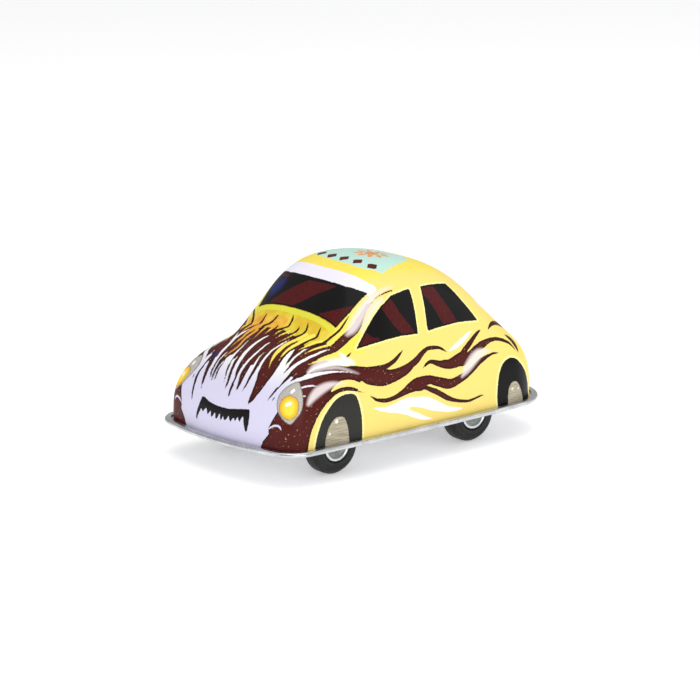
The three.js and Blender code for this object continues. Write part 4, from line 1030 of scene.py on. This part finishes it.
class Finish:
    """A material under construction: its node tree with one Principled shader."""

    def __init__(self, name, **sockets):
        self.material = bpy.data.materials.new(name)
        self.material.use_nodes = True
        self.tree = self.material.node_tree
        self.shader = self.tree.nodes["Principled BSDF"]
        for socket, value in sockets.items():
            self.shader.inputs[socket.replace("_", " ")].default_value = value
        self.position = self.node("ShaderNodeTexCoord").outputs["Object"]

    def node(self, kind, inputs=(), **settings):
        """A new node with its settings, and each input either linked or given a value."""
        node = self.tree.nodes.new(kind)
        for setting, value in settings.items():
            setattr(node, setting, value)
        for socket, value in dict(inputs).items():
            self.feed(node.inputs[socket], value)
        return node

    def feed(self, socket, value):
        """Links a socket to another node's output, or gives it a plain value."""
        if isinstance(value, bpy.types.NodeSocket):
            self.tree.links.new(value, socket)
        else:
            socket.default_value = value

    def attribute(self, name):
        return self.node("ShaderNodeAttribute", attribute_name=name).outputs["Fac"]

    def math(self, operation, first, second=0.0):
        return self.node("ShaderNodeMath", {0: first, 1: second}, operation=operation).outputs[0]

    def spread(self, value, low, high, to_low=0.0, to_high=1.0):
        """A value eased from one range to another."""
        inputs = {"Value": value, "From Min": low, "From Max": high, "To Min": to_low, "To Max": to_high}
        return self.node("ShaderNodeMapRange", inputs, interpolation_type="SMOOTHSTEP").outputs["Result"]

    def mix(self, amount, first, second, blend="MIX"):
        inputs = {0: amount, 6: first, 7: second}
        return self.node("ShaderNodeMix", inputs, data_type="RGBA", blend_type=blend).outputs[2]

    def noise(self, size, detail=3.0, stretch=(1, 1, 1), roughness=0.5):
        """Noise whose blobs are about size millimetres across."""
        mapping = self.node("ShaderNodeMapping", {"Vector": self.position, "Scale": stretch})
        inputs = {"Vector": mapping.outputs[0], "Scale": 1 / (size * MM), "Detail": detail,
                  "Roughness": roughness}
        return self.node("ShaderNodeTexNoise", inputs).outputs["Fac"]

    def relief(self, height, depth, strength=1.0):
        """Surface relief from a height between 0 and 1, depth millimetres high."""
        inputs = {"Height": height, "Distance": depth * MM, "Strength": strength}
        return self.node("ShaderNodeBump", inputs).outputs["Normal"]

    def set(self, socket, value):
        self.feed(self.shader.inputs[socket], value)


YELLOW = srgb(246, 224, 92)
PALE_YELLOW = srgb(245, 220, 124)
ORANGE = srgb(226, 150, 48)
LAVENDER = srgb(214, 210, 234)
PAPER_WHITE = srgb(248, 246, 242)
BROWN = srgb(84, 26, 22)
DARK_BROWN = srgb(38, 16, 14)
GLASS_BLACK = srgb(16, 14, 15)
DARK_RED = srgb(84, 20, 22)


class Lithograph(Finish):
    """The printed picture under construction: flat inks laid over one another on the paint."""

    def __init__(self, name, **sockets):
        super().__init__(name, **sockets)
        self.wobble = self.spread(self.noise(0.5, 2), 0.3, 0.7, -0.05, 0.05)
        self.fine = self.noise(0.16, 1)
        self.mottle = self.noise(3.5, 3)
        self.colour = YELLOW

    def ink(self, colour, name, low=0.06, high=-0.06):
        """Lays a colour over the rest inside a field's edge, full from the distance high inwards."""
        distance = self.math("ADD", self.attribute(name), self.wobble)
        self.colour = self.mix(self.spread(distance, low, high), self.colour, colour)

    def glow(self, colour, name, low, high, most):
        """Lays a soft-edged colour over the rest, at most so strongly."""
        amount = self.spread(self.attribute(name), low, high, 0.0, most)
        self.colour = self.mix(amount, self.colour, colour)

    def shade(self, name, low, high, first, second):
        """One colour turning into another along a field."""
        return self.mix(self.spread(self.attribute(name), low, high), first, second)

    def grained(self, grain, low, high, first, second):
        """One colour with another in its grain."""
        return self.mix(self.spread(grain, low, high), first, second)


def yellow_paint(tin):
    """The ground: yellow in two tones, streaked on the bonnet and orange at the cowl."""
    yellow = tin.shade("tone", 0.0, 1.0, PALE_YELLOW, YELLOW)
    yellow = tin.mix(tin.spread(tin.mottle, 0.35, 0.65, 0.0, 0.12), yellow, srgb(240, 214, 88))
    streaked = tin.grained(tin.mottle, 0.35, 0.6, srgb(226, 204, 62), srgb(218, 182, 52))
    yellow = tin.mix(tin.attribute("olive"), yellow, streaked)
    cowl = tin.mix(tin.spread(tin.mottle, 0.3, 0.62, 0.35, 0.95), YELLOW, ORANGE)
    tin.colour = tin.mix(tin.attribute("cowl"), yellow, cowl)


def stripe_inks(tin):
    """The mask, the white and brown flames, and the fur with its hairs and tongues, then the painted
    highlights.
    """
    mask = tin.shade("low", 0.0, 1.0, PAPER_WHITE, LAVENDER)
    brown = tin.shade("brown", -0.9, 0.0, BROWN, DARK_BROWN)
    brown = tin.mix(tin.spread(tin.fine, 0.4, 0.6, 0.0, 0.25), brown, DARK_BROWN)
    specks = tin.spread(tin.noise(0.55, 1), 0.7, 0.74)
    brown = tin.mix(tin.math("MULTIPLY", specks, 0.5), brown, srgb(205, 180, 140))
    tongues = tin.mix(tin.attribute("cowl"), srgb(246, 226, 96), srgb(228, 164, 62))
    tin.ink(mask, "mask")
    tin.ink(PAPER_WHITE, "white")
    tin.ink(brown, "brown")
    tin.ink(tongues, "tongues")
    tin.ink(mask, "hairs")
    # painted highlights: the pale sheens and the white streaks
    tin.glow(srgb(240, 226, 226), "sheen", 0.5, -0.7, 0.8)
    tin.glow(srgb(252, 250, 247), "light", 0.5, -0.4, 0.95)


def window_inks(tin):
    """Painted highlights at the windows' edges, the white band, then the glass, its bars and a painted
    blue reflection.
    """
    streaks = tin.noise(0.4, 2, (1, 1, 0.35))
    bars = tin.grained(streaks, 0.35, 0.65, DARK_RED, srgb(66, 17, 18))
    # painted highlight: a pale line along the windshield's foot
    tin.ink(srgb(218, 216, 66), "foot_highlight")
    # painted highlight: the pale rim round the side and rear windows
    tin.ink(srgb(252, 240, 160), "frame", 0.6, 0.3)
    tin.ink(srgb(236, 232, 244), "band")
    tin.ink(GLASS_BLACK, "glass", 0.1, -0.02)
    tin.ink(bars, "bars", -0.3, -0.42)
    # painted reflection: blue gleams on the windshield and the fender
    tin.glow(srgb(34, 46, 120), "blue_reflection", 0.7, -0.6, 0.6)


def wheel_inks(tin):
    """The painted tyres in their pale arches, and the hubs with painted glints; the rear tyres darker,
    as painted shade.
    """
    rubber = tin.grained(tin.fine, 0.3, 0.7, srgb(40, 40, 38), srgb(54, 53, 50))
    # painted shade: the rear painted tyres darker than the front ones
    rubber = tin.mix(tin.attribute("rear"), rubber, srgb(14, 14, 13))
    rings = tin.noise(0.8, 2, (0.15, 0.3, 4))
    hub = tin.grained(rings, 0.35, 0.65, srgb(146, 136, 116), srgb(192, 182, 160))
    tin.ink(srgb(250, 238, 160), "tyre", 0.75, 0.6)
    tin.ink(rubber, "tyre")
    tin.ink(hub, "hub")
    # painted highlights: pale glints on the painted hubs
    tin.ink(srgb(236, 232, 220), "hub_glints", 0.1, -0.3)


def face_inks(tin):
    """The lamps with their rims, the eyes, the glints and the mouth."""
    reflector = tin.grained(tin.fine, 0.3, 0.7, srgb(158, 153, 146), srgb(200, 196, 188))
    eye = tin.shade("eye", -1.5, -0.1, srgb(252, 222, 74), srgb(238, 182, 46))
    tin.ink(srgb(118, 110, 102), "lamp", 0.3, 0.12)
    tin.ink(reflector, "lamp")
    tin.ink(srgb(120, 96, 60), "eye", 0.2, 0.06)
    tin.ink(eye, "eye")
    tin.ink(PAPER_WHITE, "glints")
    tin.ink(srgb(20, 16, 18), "mouth")


def patch_inks(tin):
    """The roof's patch, sun and lozenges."""
    tin.ink(srgb(190, 226, 214), "patch", 0.05, -0.05)
    tin.ink(srgb(232, 146, 52), "sun")
    tin.ink(BROWN, "lozenges")


def printed_tin():
    """The lithographed shell: all the inks, painted highlights and reflections among them, a fine
    speckle and a slightly uneven sheet.
    """
    tin = Lithograph("printed_tin", Roughness=0.42, Specular_IOR_Level=0.08, Coat_Weight=0.1,
                     Coat_Roughness=0.12, Coat_IOR=1.45)
    for layer in (yellow_paint, stripe_inks, window_inks, wheel_inks, face_inks, patch_inks):
        layer(tin)
    grey = tin.spread(tin.fine, 0.2, 0.8, 0.97, 1.03)
    speckle = tin.node("ShaderNodeCombineColor", {0: grey, 1: grey, 2: grey}).outputs[0]
    tin.set("Base Color", tin.mix(1.0, tin.colour, speckle, "MULTIPLY"))
    tin.set("Normal", tin.relief(tin.noise(14, 2), 0.12, 0.5))
    return tin.material


def bright_tin():
    """Bare tin plate, rolled and handled: fine scratches along it and a slightly uneven face."""
    finish = Finish("bright_tin", Metallic=1.0, Specular_IOR_Level=0.5)
    streaks = finish.noise(0.35, 4, (0.12, 1, 1))
    spots = finish.noise(5, 3)
    colour = finish.mix(finish.spread(spots, 0.3, 0.7), srgb(212, 213, 216), srgb(190, 191, 195))
    finish.set("Base Color", colour)
    finish.set("Roughness", finish.spread(streaks, 0.3, 0.7, 0.24, 0.38))
    ripple = finish.math("ADD", finish.math("MULTIPLY", finish.noise(3, 2), 0.7), streaks)
    finish.set("Normal", finish.relief(ripple, 0.05, 0.6))
    return finish.material


def machined(name, pale, dark, roughness, size=0.25):
    """Turned or stamped metal with fine tool marks."""
    finish = Finish(name, Metallic=1.0)
    marks = finish.noise(size, 4, (1, 0.15, 1))
    cloud = finish.noise(2.5, 3)
    colour = finish.mix(finish.spread(cloud, 0.3, 0.7), pale, dark)
    finish.set("Base Color", colour)
    finish.set("Roughness", finish.spread(marks, 0.25, 0.75, roughness - 0.06, roughness + 0.1))
    finish.set("Normal", finish.relief(marks, 0.012, 0.5))
    return finish.material


def black_tyre():
    """Moulded black rubber, a little dusty."""
    finish = Finish("tyre", Specular_IOR_Level=0.3)
    grain = finish.noise(0.3, 4)
    dust = finish.spread(finish.noise(2.2, 4), 0.5, 0.75, 0.0, 0.35)
    colour = finish.mix(finish.spread(grain, 0.3, 0.7), srgb(22, 22, 21), srgb(32, 32, 30))
    finish.set("Base Color", finish.mix(dust, colour, srgb(54, 53, 50)))
    finish.set("Roughness", finish.spread(grain, 0.3, 0.7, 0.42, 0.58))
    finish.set("Normal", finish.relief(grain, 0.03, 0.6))
    return finish.material


def hub_metal():
    """Pressed hub: its rolled ring brighter and more metallic as a painted highlight, its dish dull
    grey-green as a painted reflection.
    """
    finish = Finish("hub_metal", Specular_IOR_Level=0.5)
    ring = finish.attribute("ring")
    spots = finish.noise(0.8, 4)
    # painted reflection: the dish's dull grey-green
    dish = finish.mix(finish.spread(spots, 0.3, 0.7), srgb(138, 142, 134), srgb(112, 116, 108))
    # painted highlight: the ring brighter than the dish
    finish.set("Base Color", finish.mix(ring, dish, srgb(226, 228, 230)))
    finish.set("Metallic", finish.spread(ring, 0, 1, 0.35, 0.85))
    finish.set("Roughness", finish.spread(spots, 0.3, 0.7, 0.3, 0.42))
    finish.set("Normal", finish.relief(spots, 0.02, 0.5))
    return finish.material


def floor_card():
    """The white card under the car, lit a little from within so that it stays white."""
    finish = Finish("floor_card", Specular_IOR_Level=0.2, Roughness=0.8)
    fibre = finish.noise(1.5, 4)
    card = finish.mix(finish.spread(fibre, 0.3, 0.7), srgb(246, 246, 247), srgb(250, 250, 250))
    finish.set("Base Color", card)
    finish.set("Emission Color", card)
    finish.set("Emission Strength", 0.36)
    return finish.material


PRINTED_TIN = printed_tin()
BRIGHT_TIN = bright_tin()
STEEL = machined("plain_steel", srgb(196, 198, 200), srgb(168, 170, 174), 0.3)
KEY_STEEL = machined("plated_key", srgb(214, 214, 214), srgb(190, 190, 192), 0.24)
BRASS = machined("yellow_brass", srgb(214, 178, 96), srgb(190, 150, 74), 0.28)
BLUED = machined("blued_spring", srgb(74, 84, 112), srgb(52, 58, 74), 0.26)
TYRE = black_tyre()
HUB = hub_metal()


# ------------------------------------------------------------------ body shell

SKIN_RINGS = 180
INNER_RINGS = 30
EDGE_RADIUS = 0.12
KEY_HOLE_RADIUS = 2.5
KEY_HOLE_INNER_Y = -12
KEY_HOLE_OUTER_Y = -40


def flange_rings(count):
    """The shell's flange: rings from its top, round its cut edge and back to the inside of the wall."""
    under = FLANGE_TOP - SHEET
    rows = [
        (FLANGE_INSET + EDGE_RADIUS, FLANGE_TOP),
        (FLANGE_INSET, FLANGE_TOP - EDGE_RADIUS),
        (FLANGE_INSET, under + EDGE_RADIUS),
        (FLANGE_INSET + EDGE_RADIUS, under),
        (WALL_INSET + SHEET, under),
    ]
    return [level_ring(inset, z, count) for inset, z in rows]


def body_shell():
    """The pressed shell: printed outside, bare tin inside and on its flange, with the key's hole."""
    count = 4 * SKIN_RINGS
    outer = fan_points(SKIN_RINGS)
    points = [outer]
    faces = fan_faces(SKIN_RINGS).tolist()
    printed = len(faces)
    last, total = len(outer) - count, len(outer)
    for ring in flange_rings(count) + ring_skin(INNER_RINGS, count, SHEET):
        points.append(ring)
        faces += [face[::-1] for face in join_rings(last, total, count)]
        last, total = total, total + count
    middle = np.zeros(1)
    points.append([[0, 0, shell_height(middle, middle, middle)[0] - SHEET]])
    faces += [[last + (i + 1) % count, last + i, total] for i in range(count)]
    materials = [BRIGHT_TIN, PRINTED_TIN]
    shell = mesh_object("body_shell_printed", place(np.concatenate(points)), faces, materials)
    shell.data.polygons.foreach_set("material_index", [1] * printed + [0] * (len(faces) - printed))
    profile = [(0, KEY_HOLE_OUTER_Y), (KEY_HOLE_RADIUS, KEY_HOLE_OUTER_Y),
               (KEY_HOLE_RADIUS, KEY_HOLE_INNER_Y), (0, KEY_HOLE_INNER_Y)]
    combine(shell, turned("key_hole", profile, WINDING, BRIGHT_TIN, segments=64), "DIFFERENCE")
    print_picture(shell)
    return sharp_edges(shell, 0.8)


# ------------------------------------------------------------------ base plate

SLOT_HALF_LENGTH = 9.3
SLOT_MARGIN = 1.2
SLOT_INNER_Y = WHEEL_BACK - SLOT_MARGIN
AXLE_SLOT_HALF = 2.6
EAR_Y = 12.3
EAR_THICK = 0.6
EAR_WIDTH = 6
EAR_DROP = 3.2
MOTOR_OPENING_XS = (-31.5, -12.5)
MOTOR_OPENING_HALF = 8.7
PANELS = [(37, 46.5), (-46, -36.5)]
PANEL_HALF_WIDTH = 14
PANEL_PRESS = 0.3
TAB_XS = [-8, 5.5]
TAB_WIDTH = 4
TAB_PLAY = 0.3
MOTOR_INNER_Y = 7
MOTOR_PLATE = 0.8
AXLE_RADIUS = 0.8
AXLE_PLAY = 0.1
DISH_CENTRE_INSET = 7  # how far in from the rim the plate's last ring lies
CUT_LOW = -1  # cuts through the plate reach from below it to above its floor
CUT_HIGH = 0.9
OVERLAP = 0.3  # how far one cut reaches into the next


def dish_rows():
    """The plate's section as (inset, z) rows: its floor, round the rolled rim to the hem, and back."""
    quarter = math.pi / 2
    lip = SHEET / 2
    shoulder = lip * 0.3

    def bead(radius, start, end, steps):
        angles = np.linspace(start, end, steps + 1)
        return [(BEAD_RADIUS - radius * math.cos(a), HEM_TOP / 2 + radius * math.sin(a)) for a in angles]

    return [
        (DISH_CENTRE_INSET, SHEET),
        *bead(BEAD_RADIUS - SHEET, -quarter, quarter, 6),
        (HEM_REACH - lip, HEM_UNDER),
        (HEM_REACH - shoulder, HEM_UNDER + shoulder),
        (HEM_REACH, HEM_UNDER + lip),
        (HEM_REACH - shoulder, HEM_TOP - shoulder),
        (HEM_REACH - lip, HEM_TOP),
        *bead(BEAD_RADIUS, quarter, -quarter, 12),
        (DISH_CENTRE_INSET, 0),
    ]


def dish():
    """The plate with its rolled edge, closed, without openings."""
    count = 720
    rings = [level_ring(inset, z, count) for inset, z in dish_rows()]
    faces = []
    for i in range(len(rings) - 1):
        faces += [face[::-1] for face in join_rings(i * count, (i + 1) * count, count)]
    top = len(rings) * count
    last = top - count
    for i in range(count):
        k = (i + 1) % count
        faces += [[i, k, top], [last + k, last + i, top + 1]]
    points = np.concatenate(rings + [[[0, 0, SHEET], [0, 0, 0]]])
    return mesh_object("base_plate_tin", place(points), faces, [BRIGHT_TIN])


def both_sides(x0, y0, z0, x1, y1, z1):
    """A box on the left side and its mirror image on the right."""
    return [(x0, y0, z0, x1, y1, z1), (x0, -y1, z0, x1, -y0, z1)]


def slots(x, half, inner_y, outer_y):
    """A cut through the plate on each side, so far to both sides of x."""
    return both_sides(x - half, inner_y, CUT_LOW, x + half, outer_y, CUT_HIGH)


def cut_openings(plate):
    """Cuts the motor's opening, the wheels' slots, the motor tabs' slots and the axles' windows."""
    start, end = MOTOR_OPENING_XS
    half = MOTOR_OPENING_HALF
    openings = [(start, -half, CUT_LOW, end, half, CUT_HIGH)]
    for axle in (FRONT_AXLE, REAR_AXLE):
        openings += slots(axle[0], SLOT_HALF_LENGTH, SLOT_INNER_Y, WHEEL_FACE + SLOT_MARGIN)
    for x in TAB_XS:
        outer_y = MOTOR_INNER_Y + MOTOR_PLATE + TAB_PLAY
        openings += slots(x, TAB_WIDTH / 2 + TAB_PLAY, MOTOR_INNER_Y - TAB_PLAY, outer_y)
    combine(plate, bevelled(boxes("openings", openings), 0.25, 3), "DIFFERENCE")
    windows = slots(FRONT_AXLE[0], EAR_WIDTH / 2, EAR_Y + EAR_THICK, SLOT_INNER_Y + OVERLAP)
    windows += slots(REAR_AXLE[0], AXLE_SLOT_HALF, half - OVERLAP, SLOT_INNER_Y + OVERLAP)
    combine(plate, boxes("axle_windows", windows), "DIFFERENCE")


def press_panels(plate):
    """Presses the two flat panels down."""
    half = PANEL_HALF_WIDTH
    for start, end in PANELS:
        panel = (start, -half, -PANEL_PRESS, end, half, SHEET * 0.8)
        combine(plate, bevelled(boxes("panel", [panel]), 0.22), "UNION")
        hollow = (start + SHEET, SHEET - half, SHEET - PANEL_PRESS, end - SHEET, half - SHEET, 2)
        combine(plate, bevelled(boxes("panel_hollow", [hollow]), 0.22), "DIFFERENCE")


def add_ears(plate):
    """Adds the two ears that hold the front axle, with their holes."""
    x, half = FRONT_AXLE[0], EAR_WIDTH / 2
    ears = both_sides(x - half, EAR_Y, -EAR_DROP, x + half, EAR_Y + EAR_THICK, SHEET * 0.6)
    combine(plate, bevelled(boxes("ears", ears), 0.14), "UNION")
    bore, start, end = AXLE_RADIUS + AXLE_PLAY, EAR_Y - 1, EAR_Y + 2
    profile = [(0, start), (bore, start), (bore, end), (0, end)]
    for side in (1, -1):
        combine(plate, turned("ear_hole", profile, FRONT_AXLE, BRIGHT_TIN, 48, side), "DIFFERENCE")


def base_plate():
    """The bright base plate with its openings, panels and ears."""
    plate = dish()
    cut_openings(plate)
    press_panels(plate)
    add_ears(plate)
    return sharp_edges(plate, 0.6)


# ------------------------------------------------------------------ wheels

TYRE_BORE = 3.5
HUB_RADIUS = 4.35
HUB_BOSS_END = 13.4
HUB_BOSS_RADIUS = 1.8
HUB_BORE = AXLE_RADIUS + 0.05


def tyre(name, axle, side):
    """A moulded tyre with a parting line round its tread and a step beside the hub."""
    face, back, radius = WHEEL_FACE, WHEEL_BACK, WHEEL_RADIUS
    middle = (face + back) / 2
    profile = rounded([
        (TYRE_BORE, back, 0.1),
        (radius - 1.2, back, 0.5),
        (radius - 0.05, back + 0.7, 0.5),
        (radius - 0.04, middle - 0.25, 0.05),
        (radius, middle - 0.12, 0.05),
        (radius, middle + 0.12, 0.05),
        (radius - 0.04, middle + 0.25, 0.05),
        (radius - 0.05, face - 1.4, 0.7),
        (radius - 0.8, face - 0.25, 0.5),
        (radius - 1.7, face - 0.02, 0.3),
        (radius - 1.85, face - 0.14, 0.06),
        (radius - 2.05, face - 0.14, 0.06),
        (radius - 2.2, face, 0.06),
        (HUB_RADIUS + 0.5, face, 0.2),
        (HUB_RADIUS + 0.1, face - 0.9, 0.1),
        (TYRE_BORE, face - 0.9, 0.1),
    ])
    return sharp_edges(turned(name, profile, axle, TYRE, 128, side), 0.9)


def hub(name, axle, side):
    """A pressed hub: rolled ring, dished middle with a raised boss round the axle. Its ring is marked
    for a painted highlight.
    """
    face, back = WHEEL_FACE, WHEEL_BACK
    profile = rounded([
        (HUB_BORE, HUB_BOSS_END, 0),
        (HUB_BOSS_RADIUS, HUB_BOSS_END, 0.12),
        (HUB_BOSS_RADIUS, back - 0.9, 0.3),
        (HUB_RADIUS - 0.2, back - 0.9, 0.1),
        (HUB_RADIUS - 0.2, back - 0.15, 0.1),
        (TYRE_BORE - 0.1, back - 0.15, 0.1),
        (TYRE_BORE - 0.1, face - 0.75, 0.1),
        (HUB_RADIUS, face - 0.75, 0.05),
        (HUB_RADIUS, face - 0.1, 0.2),
        (HUB_RADIUS - 0.35, face + 0.15, 0.25),
        (HUB_RADIUS - 0.75, face - 0.1, 0.25),
        (HUB_RADIUS - 0.95, face - 0.6, 0.25),
        (2.1, face - 0.62, 0.2),
        (1.7, face - 0.3, 0.2),
        (1.3, face - 0.2, 0.15),
        (HUB_BORE, face - 0.2, 0),
    ])
    thing = turned(name, profile, axle, HUB, 96, side)
    x, _, z = (mesh_points(thing) - axle).T
    # marks the rolled ring, where the material paints a highlight
    store(thing, "ring", ease(HUB_RADIUS - 1.0, HUB_RADIUS - 0.85, np.hypot(x, z)))
    return sharp_edges(thing, 0.8)


def axle_rod(name, axle):
    """An axle with rounded ends."""
    end = WHEEL_FACE + 0.2
    profile = rounded([
        (0, -end, 0),
        (AXLE_RADIUS - 0.25, -end, 0.1),
        (AXLE_RADIUS, -end + 0.25, 0.15),
        (AXLE_RADIUS, end - 0.25, 0.15),
        (AXLE_RADIUS - 0.25, end, 0.1),
        (0, end, 0),
    ])
    return sharp_edges(turned(name, profile, axle, STEEL, 48), 0.9)


# ------------------------------------------------------------------ key

STEM_RADIUS = 2
STEM_INNER_Y = -21.5
STEM_TIP_Y = -32.6
WING_THICK = 0.9
WING_ROOT_Y = -29.3
WING_TIP_Y = -39.5
LOBE_X = 5.2
LOBE_RADIUS = 4.4
LOBE_Y = WING_TIP_Y + LOBE_RADIUS
LOBE_HOLE_RADIUS = 1.9
LOBE_START = 2.3  # the lobe's edge, as angles from its outermost point: towards the root
LOBE_END = 2.4  # and towards the waist between the lobes
WAIST_DEPTH = 1.6
ROOT_HALF = 1.7
ARBOR_RADIUS = 1.2


def key_stem():
    """The key's tube, with a slot across its tip that holds the wing."""
    bore = ARBOR_RADIUS + 0.05
    profile = rounded([
        (bore, STEM_TIP_Y, 0.1),
        (STEM_RADIUS, STEM_TIP_Y, 0.35),
        (STEM_RADIUS, STEM_INNER_Y, 0.2),
        (bore, STEM_INNER_Y, 0.1),
    ])
    stem = turned("key_stem_tube", profile, WINDING, KEY_STEEL, 64)
    half = WING_THICK / 2 + 0.1
    x, _, z = WINDING
    slot = (x - 3, STEM_TIP_Y - 1, z - half, x + 3, WING_ROOT_Y + 0.15, z + half)
    combine(stem, boxes("wing_slot", [slot]), "DIFFERENCE")
    return sharp_edges(stem, 0.7)


def lobe_arc(centre_x, start, end, radius, steps):
    """Points on a circle round the middle of a lobe."""
    angles = np.linspace(start, end, steps)
    return [(centre_x + radius * math.cos(t), LOBE_Y + radius * math.sin(t)) for t in angles]


def key_wing():
    """A stamped two-lobed wing with a hole in each lobe."""
    left = lobe_arc(-LOBE_X, math.pi - LOBE_START, math.pi + LOBE_END, LOBE_RADIUS, 40)
    right = lobe_arc(LOBE_X, -LOBE_END, LOBE_START, LOBE_RADIUS, 40)
    (left_x, left_y), (right_x, right_y) = left[-1], right[0]
    waist = []
    for t in np.linspace(0, 1, 12)[1:-1]:
        start, bend, end = (1 - t) ** 2, 2 * t * (1 - t), t**2
        waist.append((start * left_x + end * right_x,
                      start * left_y + bend * (LOBE_Y - WAIST_DEPTH) + end * right_y))
    border = [(-ROOT_HALF, WING_ROOT_Y)] + left + waist + right + [(ROOT_HALF, WING_ROOT_Y)]
    last = 2 * math.pi * 47 / 48
    holes = [lobe_arc(side * LOBE_X, 0, last, LOBE_HOLE_RADIUS, 48) for side in (1, -1)]
    wing = flat_piece("key_wing_stamped", [border] + holes, WING_THICK, EDGE_RADIUS, KEY_STEEL)
    wing.data.transform(Matrix.Translation(Vector(place([WINDING[0], 0, WINDING[2]]))))
    return wing


# ------------------------------------------------------------------ putting the car together

def finish_piece(piece, body, node):
    """Says which body a piece rides on, and hides the CAD node it replaces."""
    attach(piece, body)
    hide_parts(node)


finish_piece(body_shell(), "chassis", "body_shell")
finish_piece(base_plate(), "chassis", "base_plate")
for end, axle in (("front", FRONT_AXLE), ("rear", REAR_AXLE)):
    wheels = f"{end}_wheels"
    for side_name, side in (("left", 1), ("right", -1)):
        wheel = f"{end}_{side_name}"
        finish_piece(tyre(f"{wheel}_tyre_moulded", axle, side), wheels, f"{wheel}_tyre")
        finish_piece(hub(f"{wheel}_hub_pressed", axle, side), wheels, f"{wheel}_hub")
    finish_piece(axle_rod(f"{end}_axle_rod", axle), wheels, f"{end}_axle")
finish_piece(key_stem(), "winding_key", "key_stem")
finish_piece(key_wing(), "winding_key", "key_wing")

MOTOR_FINISH = [
    (STEEL, ["motor_plate_left", "motor_plate_right", "motor_pillar_front_top",
             "motor_pillar_front_bottom", "motor_pillar_rear_top", "motor_pillar_rear_bottom",
             "winding_arbor", "ratchet_wheel", "middle_arbor", "rear_left_spacer",
             "rear_right_spacer", "click", "click_rivet"]),
    (BLUED, ["mainspring", "click_spring"]),
    (BRASS, ["great_wheel", "middle_pinion", "middle_wheel", "rear_pinion"]),
]
for material, nodes in MOTOR_FINISH:
    for node in nodes:
        for material_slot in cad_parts[node].material_slots:
            material_slot.material = material


# ------------------------------------------------------------------ floor, light and camera

CAMERA_TARGET = np.array([3.06, 5.615, 27.12])
CAMERA_DISTANCE = 1277.5
CAMERA_AZIMUTH = math.radians(138.27)
CAMERA_ELEVATION = math.radians(14.24)
LENS = 235.7
FLOOR_HALF = 3.0
WORLD_STRENGTH = 0.5
LIGHT_TARGET = (0, 0, 0.025)
SOFTBOXES = [  # name, place, width, height and power, in metres and watts
    ("sky_box", (0.05, 0.1, 0.7), 0.7, 0.7, 2.6),
    ("left_box", (0.25, 0.8, 0.24), 0.6, 0.4, 1.9),
    ("rear_box", (-0.6, 0.45, 0.35), 0.6, 0.5, 0.8),
    ("front_box", (0.8, -0.15, 0.35), 0.4, 0.4, 0.9),
]


def facing(azimuth, elevation):
    """The direction from the car to something seen from it at these angles."""
    return Vector((math.sin(azimuth) * math.cos(elevation), -math.cos(azimuth) * math.cos(elevation),
                   math.sin(elevation)))


def aim(thing, target):
    """Turns a light or a camera towards a target."""
    direction = Vector(target) - thing.location
    thing.rotation_mode = "QUATERNION"
    thing.rotation_quaternion = direction.to_track_quat("-Z", "Y")


def softbox(name, location, width, height, power):
    """A rectangular white light aimed at the car."""
    light = bpy.data.lights.new(name, "AREA")
    light.shape = "RECTANGLE"
    light.size, light.size_y = width, height
    light.energy = power
    holder = bpy.data.objects.new(name, light)
    bpy.context.collection.objects.link(holder)
    holder.location = location
    aim(holder, LIGHT_TARGET)


def studio():
    """A white floor, a white world and the softboxes."""
    half = FLOOR_HALF
    corners = [(-half, -half, 0), (half, -half, 0), (half, half, 0), (-half, half, 0)]
    floor = mesh_object("floor", corners, [(0, 1, 2, 3)], [floor_card()], smooth=False)
    world = bpy.data.worlds.new("studio")
    world.use_nodes = True
    background = world.node_tree.nodes["Background"]
    background.inputs["Color"].default_value = (1, 1, 1, 1)
    background.inputs["Strength"].default_value = WORLD_STRENGTH
    bpy.context.scene.world = world
    for box in SOFTBOXES:
        softbox(*box)


def camera():
    """The photograph's camera."""
    holder = bpy.data.objects.new("camera", bpy.data.cameras.new("camera"))
    bpy.context.collection.objects.link(holder)
    target = Vector(CAMERA_TARGET * MM)
    holder.location = target + facing(CAMERA_AZIMUTH, CAMERA_ELEVATION) * CAMERA_DISTANCE * MM
    aim(holder, target)
    holder.data.lens = LENS
    holder.data.sensor_width = 36
    holder.data.clip_start = 0.05
    holder.data.clip_end = 20
    bpy.context.scene.camera = holder


studio()
camera()
bpy.context.scene.view_settings.view_transform = "Standard"
